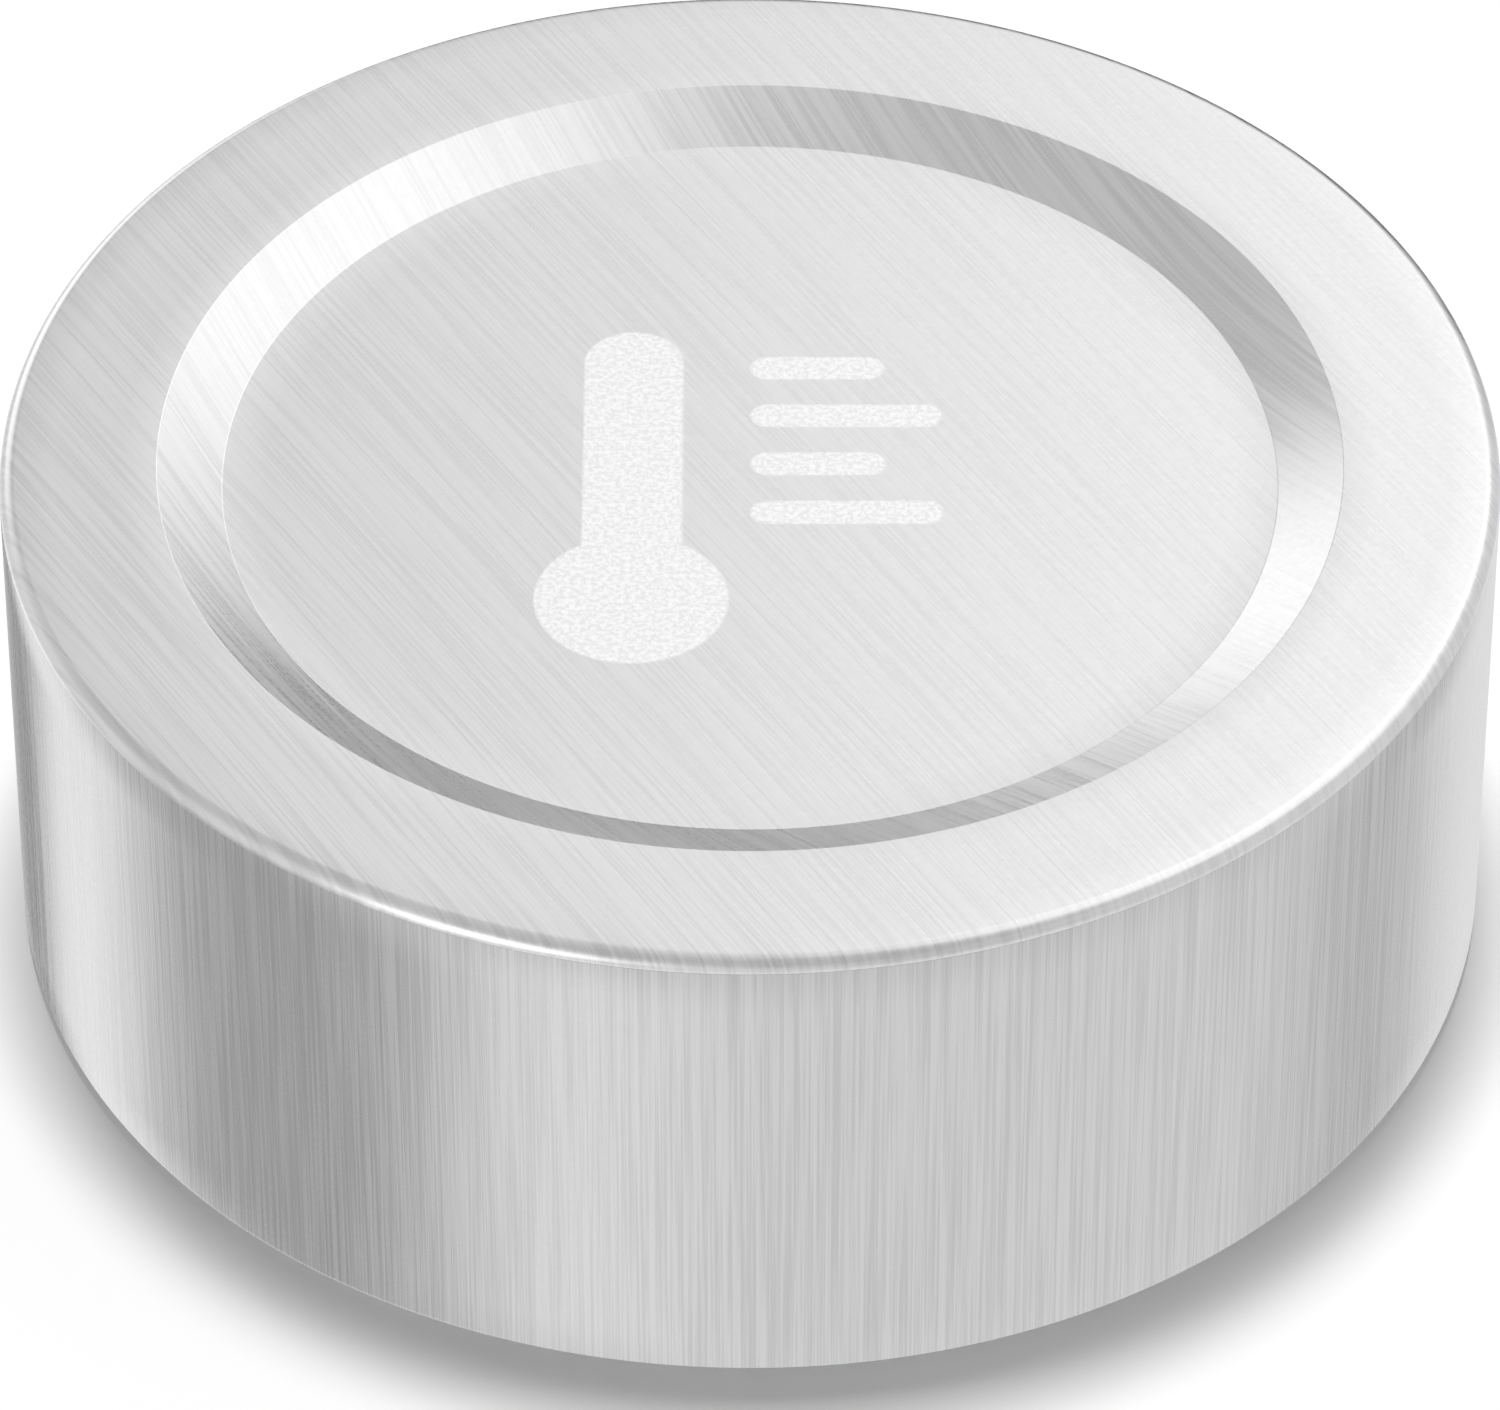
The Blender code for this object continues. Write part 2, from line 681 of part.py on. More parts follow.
def make_main_board():
    """The main board and the pieces that stand on it or hang under it."""
    flat("main_board", [ring(MAIN_BOARD_R, TURNED)], main_low, main_top, circuit)
    boxed = (  # name, size, place on the board, surface, edge
        ("processor_shield", (15.0, 15.0, 2.2), (-12.0, 10.0), shield_tin, 0.3),
        ("radio_module", (12.0, 15.0, 2.4), (11.5, 12.0), shield_tin, 0.3),
        ("climate_sensor", (3.0, 3.0, 1.2), (0.0, -24.5), black_plastic, 0.15),
        ("press_switch", (6.2, 6.2, 3.4), (0.0, 0.0), black_plastic, 0.3),
    )
    made = {}
    for name, size, at, surface, edge in boxed:
        made[name] = box(name, size, (*at, parts_low + size[2] / 2), surface, bevel=edge)
    well = cylinder("plunger_well", PLUNGER_WELL_R, PLUNGER_WELL_LOW, DECK_TOP, collection=cutters)
    cut(made["press_switch"], well)
    cylinder("switch_plunger", PLUNGER_R, PLUNGER_LOW, HUB_LOW - GAP, surface=grey_plastic)
    outline = rounded(*BATTERY, BATTERY_CORNER, (0.0, BATTERY_Y))
    battery = flat("backup_battery", [outline], parts_low, BATTERY_TOP, battery_film)
    edges = battery.modifiers.new("edges", "BEVEL")
    edges.width = BATTERY_EDGE * MM
    edges.segments = 1
    buzzer_top = parts_low + BUZZER_HEIGHT
    buzzer = cylinder("buzzer", BUZZER_R, parts_low, buzzer_top, BUZZER_AT, black_plastic, facets=2 * SMALL)
    port = cylinder("buzzer_port", BUZZER_PORT_R, buzzer_top - BUZZER_PORT_DEPTH, buzzer_top + THROUGH,
                    BUZZER_AT, collection=cutters)
    cut(buzzer, port)
    plug_low = COVER_LOW - PLUG_DROP
    plug_top = main_low - GAP
    plug = box("head_connector", (*PLUG, plug_top - plug_low), (0.0, CONNECTOR_Y, (plug_top + plug_low) / 2),
               black_plastic)
    tongue = box("plug_tongue", TONGUE, (0.0, CONNECTOR_Y, plug_low - TONGUE_DROP), collection=cutters)
    join(plug, tongue)


def make_encoder():
    """The encoder under the deck, and its pinion above it in mesh with the ring gear."""
    x, y = polar(encoder_r, ENCODER_ANGLE)
    body_z = DECK_LOW - GAP - ENCODER_BODY[2] / 2
    body = box("encoder_body", ENCODER_BODY, (x, y + ENCODER_OFFSET, body_z), black_plastic,
               bevel=ENCODER_EDGE)
    bore_r = SHAFT_R + ENCODER_BORE_PLAY
    cut(body, cylinder("encoder_bore", bore_r, SHAFT_LOW - GAP, DECK_TOP, (x, y), collection=cutters))
    outline = gear_outline(PINION_TEETH, pinion_pitch_r, PINION_ADDENDUM, DEDENDUM, ENCODER_ANGLE)
    gear = flat("encoder_gear", [outline], GEAR_LOW, GEAR_LOW + GEAR_HEIGHT, acetal)
    gear.location.x = x * MM
    gear.location.y = y * MM
    join(gear, cylinder("encoder_shaft", SHAFT_R, SHAFT_LOW, GEAR_LOW + THROUGH, (x, y), collection=cutters))


def make_wall_plate():
    """The plate screwed to the wall: flange, locating ring, wire opening and two screw slots."""
    plate = turned("wall_plate", [
        (0.0, PLATE_T),
        (SPIGOT_INNER_R, PLATE_T),
        (SPIGOT_INNER_R, SPIGOT_TOP),
        (SPIGOT_OUTER_R, SPIGOT_TOP),
        (SPIGOT_OUTER_R, PLATE_T),
        (PLATE_R, PLATE_T),
        (PLATE_R, 0.0),
        (0.0, 0.0),
    ], white_plastic)
    low, high = -THROUGH, PLATE_T + THROUGH
    opening = rounded(WIRE_OPENING, WIRE_OPENING, WIRE_OPENING_CORNER, (0.0, WIRE_OPENING_Y))
    cut(plate, flat("wire_opening", [opening], low, high, collection=cutters))
    length, width = SCREW_SLOT
    for i, side in enumerate((1, -1)):
        outline = rounded(length, width, width / 2, (0.0, side * SCREW_SLOT_Y), steps=6)
        cut(plate, flat(f"screw_slot_{i + 1}", [outline], low, high, collection=cutters))
        post_at = (side * VIAL_POST_X, VIAL_Y, VIAL_POST_Z)
        join(plate, box(f"vial_post_{i + 1}", VIAL_POST, post_at, collection=cutters))
        screw_at = (side * BOARD_SCREW_X, BOARD_SCREW_Y)
        cut(plate, cylinder(f"plate_hole_{i + 1}", SCREW_HOLE_R, BLIND_HOLE_LOW, high, screw_at,
                            collection=cutters))
    for i, angle in enumerate(CLIP_ANGLES):
        x, y = polar((SPIGOT_INNER_R + SPIGOT_OUTER_R) / 2, angle)
        notch_z = PLATE_T + CLIP_NOTCH[2] / 2
        notch = box(f"clip_notch_{i + 1}", CLIP_NOTCH, (x, y, notch_z), collection=cutters, turn=angle)
        cut(plate, notch)
    return plate


def make_clip(number, angle):
    """A leaf spring on the plate that grips the chassis skirt as the head is pushed on."""
    corner = 0.4
    path = [  # radius, and height over the plate's gap: foot, wall, grip and tip
        (CLIP_FOOT_R, 0.0),
        (CLIP_WALL_R - corner / 2, 0.0),
        (CLIP_WALL_R, corner),
        (CLIP_WALL_R, 3.2),
        (CLIP_GRIP_R, 4.6),
        (CLIP_TIP_R, 6.2),
    ]
    mesh = bpy.data.meshes.new(f"retaining_clip_{number}")
    shape = bmesh.new()
    previous = None
    for radius, height in path:
        z = board_low + height
        half = CLIP_WIDTH / 2
        sides = [shape.verts.new((radius * MM, y * MM, z * MM)) for y in (-half, half)]
        if previous:
            shape.faces.new((previous[0], sides[0], sides[1], previous[1]))
        previous = sides
    shape.to_mesh(mesh)
    shape.free()
    clip = place(mesh.name, mesh, spring_steel)
    clip.rotation_euler.z = math.radians(angle)
    thick = clip.modifiers.new("thickness", "SOLIDIFY")
    thick.thickness = CLIP_T * MM
    thick.offset = 1.0
    thick.use_even_offset = True


def make_terminals():
    """The terminal board, both blocks, their release tabs, the relays and the socket."""
    width, height = TERMINAL_BOARD
    outlines = [
        rounded(width, height, TERMINAL_BOARD_CORNER, (0.0, TERMINAL_BOARD_Y)),
        rounded(WIRE_OPENING, WIRE_OPENING, WIRE_OPENING_CORNER, (0.0, WIRE_OPENING_Y)),
        ring(BOARD_HOLE_R, SMALL, (BOARD_SCREW_X, BOARD_SCREW_Y)),
        ring(BOARD_HOLE_R, SMALL, (-BOARD_SCREW_X, BOARD_SCREW_Y)),
    ]
    flat("terminal_board", outlines, board_low, board_top, circuit)
    number = 0
    for side, name in ((-1, "left"), (1, "right")):
        centre = (side * BLOCK_X, WIRE_OPENING_Y, (block_low + block_top) / 2)
        block = box(f"terminal_block_{name}", BLOCK, centre, grey_plastic, bevel=BLOCK_EDGE)
        for i in range(TABS_PER_BLOCK):
            number += 1
            y = WIRE_OPENING_Y + (i - (TABS_PER_BLOCK - 1) / 2) * TAB_PITCH
            x = side * (BLOCK_X - TAB_INWARD)
            pocket_z = block_top - TAB_POCKET[2] + POCKET_HEIGHT / 2
            pocket = box(f"tab_pocket_{number}", (*TAB_POCKET[:2], POCKET_HEIGHT), (x, y, pocket_z),
                         collection=cutters)
            hole = cylinder(f"wire_hole_{number}", WIRE_HOLE_R, -WIRE_HOLE_HALF, WIRE_HOLE_HALF,
                            collection=cutters)
            hole_x = side * (BLOCK_X - BLOCK[0] / 2 + WIRE_HOLE_IN)
            hole.rotation_euler.y = math.pi / 2
            hole.location = (hole_x * MM, y * MM, (block_low + WIRE_HOLE_UP) * MM)
            cut(block, pocket)
            cut(block, hole)
            tab_z = block_top + TAB_STANDS - TAB[2] / 2
            box(f"release_tab_{number}", TAB, (x, y, tab_z), tab_orange, bevel=TAB_EDGE)
    for name, side in (("heating_relay", -1), ("cooling_relay", 1)):
        centre = (side * RELAY_X, RELAY_Y, block_low + RELAY[2] / 2)
        box(name, RELAY, centre, relay_plastic, bevel=RELAY_EDGE)
    socket_z = block_low + SOCKET[2] / 2
    socket = box("base_connector", SOCKET, (0.0, CONNECTOR_Y, socket_z), black_plastic)
    slot_z = block_low + SOCKET_SLOT_UP
    cut(socket, box("socket_slot", SOCKET_SLOT, (0.0, CONNECTOR_Y, slot_z), collection=cutters))


def make_vial():
    vial = cylinder("level_vial", VIAL_R, -VIAL_HALF, VIAL_HALF, surface=vial_fill)
    vial.rotation_euler.y = math.pi / 2
    vial.location = (0.0, VIAL_Y * MM, (PLATE_T + GAP + VIAL_R) * MM)


make_wall_plate()
make_terminals()
make_vial()
for index, clip_angle in enumerate(CLIP_ANGLES):
    make_clip(index + 1, clip_angle)
for index, screw_x in enumerate((-BOARD_SCREW_X, BOARD_SCREW_X)):
    make_screw(f"board_screw_{index + 1}", (screw_x, BOARD_SCREW_Y), board_top + GAP, BOARD_SCREW_TIP,
               BOARD_SCREW_HEAD)
make_chassis()
make_rear_cover()
for index, screw_angle in enumerate(COVER_SCREW_ANGLES):
    make_screw(f"cover_screw_{index + 1}", polar(COVER_SCREW_R, screw_angle), COVER_LOW - GAP,
               COVER_SCREW_TIP, COVER_SCREW_HEAD)
make_main_board()
make_encoder()
make_wave_spring()
make_dial_hub()
make_bearing()
make_dial_carrier()
make_dial_cap()
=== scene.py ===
import math
import random

import bmesh
import bpy
from mathutils import Matrix, Vector


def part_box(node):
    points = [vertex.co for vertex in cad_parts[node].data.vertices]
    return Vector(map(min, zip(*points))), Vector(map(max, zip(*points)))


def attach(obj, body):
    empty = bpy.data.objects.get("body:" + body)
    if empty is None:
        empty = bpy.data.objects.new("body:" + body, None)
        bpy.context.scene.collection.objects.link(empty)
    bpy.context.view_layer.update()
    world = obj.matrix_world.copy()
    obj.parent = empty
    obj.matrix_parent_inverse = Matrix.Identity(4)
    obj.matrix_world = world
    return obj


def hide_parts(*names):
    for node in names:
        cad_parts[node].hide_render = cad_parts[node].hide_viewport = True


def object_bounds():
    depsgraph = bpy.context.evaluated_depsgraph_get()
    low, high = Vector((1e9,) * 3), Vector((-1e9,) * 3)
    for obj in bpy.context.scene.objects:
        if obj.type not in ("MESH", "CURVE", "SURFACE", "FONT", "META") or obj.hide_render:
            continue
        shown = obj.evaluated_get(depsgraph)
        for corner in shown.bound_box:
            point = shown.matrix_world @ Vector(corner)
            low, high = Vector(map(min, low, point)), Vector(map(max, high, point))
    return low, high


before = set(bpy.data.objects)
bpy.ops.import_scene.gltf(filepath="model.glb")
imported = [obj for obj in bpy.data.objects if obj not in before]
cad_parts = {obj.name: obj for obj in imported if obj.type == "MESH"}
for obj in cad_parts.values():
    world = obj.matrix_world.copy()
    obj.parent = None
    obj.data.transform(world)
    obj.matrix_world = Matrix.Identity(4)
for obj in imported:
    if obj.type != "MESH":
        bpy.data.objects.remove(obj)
cadLow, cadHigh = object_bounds()
print("frame loaded:", len(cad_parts), "nodes")

mm = 0.001
dialRadius = cadHigh.x
dialTop = cadHigh.z


def reach(x, y):
    # how far (x, y) is from the middle, for numbers and for signals
    return (x * x + y * y) ** 0.5


class Signal:
    # a socket that takes part in sums: each operator adds its Math node
    def __init__(self, graph, socket):
        self.graph = graph
        self.socket = socket

    def sum(self, operation, first, second=0.0):
        return self.graph.node("ShaderNodeMath", {"operation": operation}, {0: first, 1: second})

    def __add__(self, other):
        return self.sum("ADD", self, other)

    def __radd__(self, other):
        return self.sum("ADD", other, self)

    def __sub__(self, other):
        return self.sum("SUBTRACT", self, other)

    def __rsub__(self, other):
        return self.sum("SUBTRACT", other, self)

    def __mul__(self, other):
        return self.sum("MULTIPLY", self, other)

    def __rmul__(self, other):
        return self.sum("MULTIPLY", other, self)

    def __truediv__(self, other):
        return self.sum("DIVIDE", self, other)

    def __rtruediv__(self, other):
        return self.sum("DIVIDE", other, self)

    def __pow__(self, other):
        return self.sum("POWER", self, other)

    def __abs__(self):
        return self.sum("ABSOLUTE", self)

    def least(self, other):
        return self.sum("MINIMUM", self, other)

    def most(self, other):
        return self.sum("MAXIMUM", self, other)

    def between(self, low, high):
        # 0 below low, 1 above high, smooth in the middle
        settings = {"interpolation_type": "SMOOTHSTEP"}
        return self.graph.node("ShaderNodeMapRange", settings, {0: self, 1: low, 2: high})


class Graph:
    # a node tree, with the nodes that the finishes and the studio use
    def __init__(self, tree):
        self.tree = tree

    def node(self, kind, settings=None, sockets=None, out=0):
        made = self.tree.nodes.new(kind)
        for name, value in (settings or {}).items():
            setattr(made, name, value)
        for name, value in (sockets or {}).items():
            self.feed(made.inputs[name], value)
        return Signal(self, made.outputs[out])

    def feed(self, socket, value):
        if isinstance(value, Signal):
            self.tree.links.new(value.socket, socket)
        else:
            socket.default_value = value

    def place(self):
        # where a point is in its own object, in metres
        return self.node("ShaderNodeTexCoord", out=3)

    def split(self, vector):
        made = self.node("ShaderNodeSeparateXYZ", sockets={0: vector})
        return [Signal(self, output) for output in made.socket.node.outputs]

    def joined(self, x, y, z):
        return self.node("ShaderNodeCombineXYZ", sockets={0: x, 1: y, 2: z})

    def turned(self, vector, turn):
        # a turn about Z, in radians
        return self.node("ShaderNodeMapping", {}, {0: vector, "Rotation": (0, 0, turn)})

    def scaled(self, vector, scale):
        return self.node("ShaderNodeVectorMath", {"operation": "MULTIPLY"}, {0: vector, 1: scale})

    def stretch(self, vector, scale, turn=0.0):
        return self.scaled(self.turned(vector, turn), scale)

    def roundAxis(self, vector):
        # the same all the way round the Z axis: what a lathe leaves
        x, y, z = self.split(vector)
        return self.joined(reach(x, y), 0.0, z)

    def noise(self, vector, scale=1.0, detail=2.0, roughness=0.5):
        sockets = {"Vector": vector, "Scale": scale, "Detail": detail, "Roughness": roughness}
        return self.node("ShaderNodeTexNoise", {}, sockets)

    def cells(self, vector, scale):
        return self.node("ShaderNodeTexVoronoi", {}, {"Vector": vector, "Scale": scale})

    def mixed(self, factor, first, second):
        sockets = {0: factor, 6: first, 7: second}
        return self.node("ShaderNodeMix", {"data_type": "RGBA"}, sockets, out=2)

    def bump(self, height, depth, strength):
        sockets = {"Height": height, "Distance": depth, "Strength": strength}
        return self.node("ShaderNodeBump", {}, sockets)


socketNames = {
    "colour": "Base Color",
    "roughness": "Roughness",
    "metallic": "Metallic",
    "coat": "Coat Weight",
    "glow": "Emission Color",
    "glowStrength": "Emission Strength",
    "ior": "IOR",
    "specular": "Specular IOR Level",
    "anisotropy": "Anisotropic",
    "transmission": "Transmission Weight",
    "normal": "Normal",
}


class Finish(Graph):
    # one material: a Principled shader and the nodes behind it
    def __init__(self, name, **fixed):
        self.material = bpy.data.materials.new(name)
        self.material.use_nodes = True
        super().__init__(self.material.node_tree)
        self.tree.nodes.clear()
        self.shader = self.tree.nodes.new("ShaderNodeBsdfPrincipled")
        output = self.tree.nodes.new("ShaderNodeOutputMaterial")
        self.tree.links.new(self.shader.outputs[0], output.inputs[0])
        for socket, value in fixed.items():
            self.shader.inputs[socketNames[socket]].default_value = value

    def drive(self, socket, value):
        self.feed(self.shader.inputs[socketNames[socket]], value)


def grey(level):
    return (level, level, level, 1.0)


dialFinish = {
    "metal": (0.79, 0.79, 0.793, 1.0),
    "darkLine": (0.70, 0.70, 0.703, 1.0),
    "roughness": 0.30,
    "brushTurn": math.radians(58.3),  # the brushing runs from far left to near right
    "fineLines": 5200.0,  # per metre across the brushing
    "mediumLines": 1500.0,
    "broadLines": 260.0,
    "fineShare": 0.62,
    "mediumShare": 0.3,
    "broadShare": 0.08,
    "lineReach": 85.0,  # per metre along it
    "mediumReach": 0.7,  # of the line reach
    "broadReach": 0.4,
    "lineLevels": (0.36, 0.6),
    "lineRoughness": 0.25,
    "grain": 2600.0,  # per metre
    "grainRoughness": 0.08,
    "anisotropy": 0.55,
    "bumpDepth": 0.000009,
    "bumpStrength": 0.9,
    "tangentTurn": math.radians(90),
}

etching = {
    "speckle": 3300.0,  # per metre
    "speckleLevels": (0.4, 0.6),
    "tones": (0.84, 0.98),
    "roughness": 0.5,
    "matt": 0.5,  # how much less metallic it is
    "rise": 1.6,
    "fineRise": 0.5,  # of the brushed metal round it
    "mediumRise": 0.4,
    "under": (0.0021, 0.0019),  # metres below the dial's top, under which nothing is etched
}


def brushedLines(finish, vector, across, along):
    # long streaks: fast change across the brushing and slow change along it
    return finish.noise(finish.scaled(vector, (along, across, along)), detail=1.0, roughness=0.6)


def dialFaceFinish():
    f = dialFinish
    e = etching
    finish = Finish("dial_face_brushed", anisotropy=f["anisotropy"])
    place = finish.place()
    turned = finish.turned(place, f["brushTurn"])
    fine = brushedLines(finish, turned, f["fineLines"], f["lineReach"])
    medium = brushedLines(finish, turned, f["mediumLines"], f["lineReach"] * f["mediumReach"])
    broad = brushedLines(finish, turned, f["broadLines"], f["lineReach"] * f["broadReach"])
    grain = finish.noise(place, f["grain"], detail=2.0)
    lines = fine * f["fineShare"] + medium * f["mediumShare"] + broad * f["broadShare"]
    mark = glyphMask(finish, place)
    speckle = finish.noise(place, e["speckle"], detail=3.0, roughness=0.7)
    brushedColour = finish.mixed(lines.between(*f["lineLevels"]), f["darkLine"], f["metal"])
    darkTone, lightTone = e["tones"]
    markColour = finish.mixed(speckle.between(*e["speckleLevels"]), grey(darkTone), grey(lightTone))
    finish.drive("colour", finish.mixed(mark, brushedColour, markColour))
    roughLines = (lines - 0.5) * f["lineRoughness"]
    brushedRoughness = f["roughness"] + roughLines + (grain - 0.5) * f["grainRoughness"]
    finish.drive("roughness", brushedRoughness * (1 - mark) + mark * e["roughness"])
    finish.drive("metallic", 1 - mark * e["matt"])
    brushedHeight = fine * e["fineRise"] + medium * e["mediumRise"]
    height = brushedHeight * (1 - mark) + mark * (speckle * e["rise"])
    finish.drive("normal", finish.bump(height, f["bumpDepth"], f["bumpStrength"]))
    return finish.material


glyph = {  # a plain thermometer with its ticks, etched into the disc; lengths in metres
    "stemX": -0.0066,
    "stemLow": -0.0058,
    "stemHigh": 0.0098,
    "stemRadius": 0.0028,
    "bulbLow": -0.0106,
    "bulbRadius": 0.0054,
    "edge": 0.00012,
    "tickX": 0.0010,
    "tickLengths": (0.0088, 0.0056, 0.0088, 0.0056),
    "tickLow": -0.0032,
    "tickPitch": 0.0042,
    "tickRadius": 0.0010,
}


def capsule(x, y, ax, ay, bx, by):
    # distance from the line between (ax, ay) and (bx, by), where the line runs along X or Y
    if ax == bx:
        dx = x - ax
        dy = y - y.most(ay).least(by)
    else:
        dx = x - x.most(ax).least(bx)
        dy = y - ay
    return reach(dx, dy)


def glyphMask(finish, place):
    g = glyph
    x, y, z = finish.split(place)
    stem = capsule(x, y, g["stemX"], g["stemLow"], g["stemX"], g["stemHigh"]) - g["stemRadius"]
    bulb = capsule(x, y, g["stemX"], g["bulbLow"], g["stemX"], g["bulbLow"]) - g["bulbRadius"]
    shape = stem.least(bulb)
    for step, length in enumerate(g["tickLengths"]):
        height = g["tickLow"] + step * g["tickPitch"]
        tick = capsule(x, y, g["tickX"], height, g["tickX"] + length, height)
        shape = shape.least(tick - g["tickRadius"])
    deep, shallow = etching["under"]
    onTop = z.between(dialTop - deep, dialTop - shallow)
    return (1 - shape.between(-g["edge"], g["edge"])) * onTop


skirtFinishWithPaintedShade = {
    # painted shade: the side is the same metal as the face, but its metal and its lines are painted darker
    "metal": (0.64, 0.64, 0.643, 1.0),
    "darkLine": (0.53, 0.53, 0.533, 1.0),
    "roughness": 0.27,
    "fineLines": 7200.0,  # round the side, per metre
    "fineReach": 0.008,  # how fast they change up the side, of that
    "fineShare": 0.65,
    "fineRise": 0.8,
    "broadLines": 2600.0,
    "broadReach": 0.02,
    "broadShare": 0.35,
    "broadRise": 0.2,
    "slant": 0.008,
    "lineLevels": (0.36, 0.62),
    "lineRoughness": 0.25,
    "grain": 2400.0,
    "grainRoughness": 0.06,
    "anisotropy": 0.4,
    "bumpDepth": 0.000010,
    "bumpStrength": 0.9,
}


def aroundPlace(finish, place, radius, along, slant=0.0):
    # a point's place on the cylinder of that radius, so that lines run up it and have no seam
    x, y, z = finish.split(place)
    out = reach(x, y)
    sway = z * slant
    return finish.joined(x / out * radius + sway, y / out * radius + sway, z * along)


def skirtSideFinish():
    s = skirtFinishWithPaintedShade
    finish = Finish("dial_side_brushed_painted_shade", metallic=1.0, anisotropy=s["anisotropy"])
    place = finish.place()
    finePlace = aroundPlace(finish, place, dialRadius, s["fineReach"])
    fine = finish.noise(finePlace, s["fineLines"], detail=2.0, roughness=0.6)
    broadPlace = aroundPlace(finish, place, dialRadius, s["broadReach"], s["slant"])
    broad = finish.noise(broadPlace, s["broadLines"], detail=3.0, roughness=0.6)
    grain = finish.noise(place, s["grain"], detail=2.0)
    lines = fine * s["fineShare"] + broad * s["broadShare"]
    # the side's darker colour is painted shade, not a different metal
    finish.drive("colour", finish.mixed(lines.between(*s["lineLevels"]), s["darkLine"], s["metal"]))
    roughLines = (lines - 0.5) * s["lineRoughness"]
    finish.drive("roughness", s["roughness"] + roughLines + (grain - 0.5) * s["grainRoughness"])
    height = fine * s["fineRise"] + broad * s["broadRise"]
    finish.drive("normal", finish.bump(height, s["bumpDepth"], s["bumpStrength"]))
    return finish.material


def added(name, data):
    # a new object in the scene
    made = bpy.data.objects.new(name, data)
    bpy.context.scene.collection.objects.link(made)
    return made


def arc(centre, radius, start, end, steps):
    # points of a round stretch in a (radius, height) profile, angles in degrees from +radius
    points = []
    for step in range(steps + 1):
        angle = math.radians(start + (end - start) * step / steps)
        points.append((centre[0] + radius * math.cos(angle), centre[1] + radius * math.sin(angle)))
    return points


def lathe(name, profile, coats, choose=None, facets=192, sharp=28.0, solid=False):
    # the profile is (radius, height) points that run down the outer side; a solid one starts and
    # ends on the axis, and any other one closes on itself; choose gives a row its own finish
    mesh = bpy.data.meshes.new(name)
    shape = bmesh.new()
    rings = []
    for radius, height in profile:
        if radius == 0.0:
            rings.append([shape.verts.new((0.0, 0.0, height))])
            continue
        angles = [2 * math.pi * i / facets for i in range(facets)]
        points = [(radius * math.cos(angle), radius * math.sin(angle), height) for angle in angles]
        rings.append([shape.verts.new(point) for point in points])
    pairs = list(zip(range(len(rings) - 1), range(1, len(rings))))
    if not solid:
        pairs.append((len(rings) - 1, 0))
    for upper, lower in pairs:
        a, b = rings[upper], rings[lower]
        for i in range(facets):
            j = (i + 1) % facets
            if len(a) == 1:
                face = shape.faces.new((a[0], b[i], b[j]))
            elif len(b) == 1:
                face = shape.faces.new((a[i], b[0], a[j]))
            else:
                face = shape.faces.new((a[i], b[i], b[j], a[j]))
            face.smooth = True
            if choose:
                face.material_index = choose(upper)
    shape.normal_update()
    shape.to_mesh(mesh)
    shape.free()
    made = added(name, mesh)
    for coat in coats:
        mesh.materials.append(coat)
    mesh.set_sharp_from_angle(angle=math.radians(sharp))
    return made


cap = {
    "recessOuter": 33.2 * mm,
    "recessInner": 29.6 * mm,
    "recessDepth": 1.72 * mm,
    "edgeRound": 0.16 * mm,
    "fillet": 0.87 * mm,
    "wall": 1.6 * mm,
    "skirtLow": cadLow.z + 0.6 * mm,
    "lowRound": 0.25 * mm,
    "seam": 0.004 * mm,  # between the face and the skirt, just under the rim
    "seamRound": 0.015 * mm,
    "filletEnd": 1.0,  # degrees short of upright, where the face stops
    "shelf": 0.6,  # how far the seam runs in, of the wall
    "step": 1.0 * mm,  # how far inside the recess the lower surface turns
    "skirtInset": 0.5 * mm,
    "skirtSlope": 0.4 * mm,
    "skirtChamfer": 0.1 * mm,
    "skirtRows": 10,
    "facets": 256,
}


def evenRadii(first, last, count):
    return [first + (last - first) * step / count for step in range(1, count)]


def makeDialFace(faceFinish, insideFinish):
    c = cap
    floor = dialTop - c["recessDepth"]
    slope = math.degrees(math.atan2(c["recessDepth"], c["recessOuter"] - c["recessInner"]))
    edge = c["edgeRound"]
    setBack = edge * math.tan(math.radians(slope / 2))
    profile = [(0.0, floor)]
    profile += [(radius, floor) for radius in evenRadii(0.0, c["recessInner"] - setBack, 12)]
    profile += arc((c["recessInner"] - setBack, floor + edge), edge, -90, slope - 90, 4)
    profile += arc((c["recessOuter"] + setBack, dialTop - edge), edge, slope + 90, 90, 4)
    filletCentre = (dialRadius - c["fillet"], dialTop - c["fillet"])
    profile += [(radius, dialTop) for radius in evenRadii(c["recessOuter"] + setBack, filletCentre[0], 4)]
    profile += arc(filletCentre, c["fillet"], 90, c["filletEnd"], 12)
    outerCount = len(profile)
    shelf = dialTop - c["fillet"] + c["seam"] / 2
    wall = c["wall"]
    profile += [
        (dialRadius - c["seamRound"], shelf),
        (dialRadius - wall * c["shelf"], shelf),
        (dialRadius - wall - c["step"], dialTop - wall),
        (c["recessOuter"] + c["step"], dialTop - wall),
        (c["recessInner"] + c["step"], floor - wall),
        (0.0, floor - wall),
    ]
    made = lathe(
        "dial_face", profile, [faceFinish, insideFinish],
        choose=lambda row: 0 if row < outerCount else 1, facets=c["facets"], solid=True,
    )
    # the gloss stretches along the brushing, because its tangents turn round a point far away
    farAway = 10.0
    turn = dialFinish["brushTurn"] + dialFinish["tangentTurn"]
    made.data.use_auto_texspace = False
    made.data.texspace_location = (farAway * math.cos(turn), farAway * math.sin(turn), 0.0)
    made.data.texspace_size = (1.0, 1.0, 1.0)
    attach(made, "dial")
    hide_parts("dial_cap")


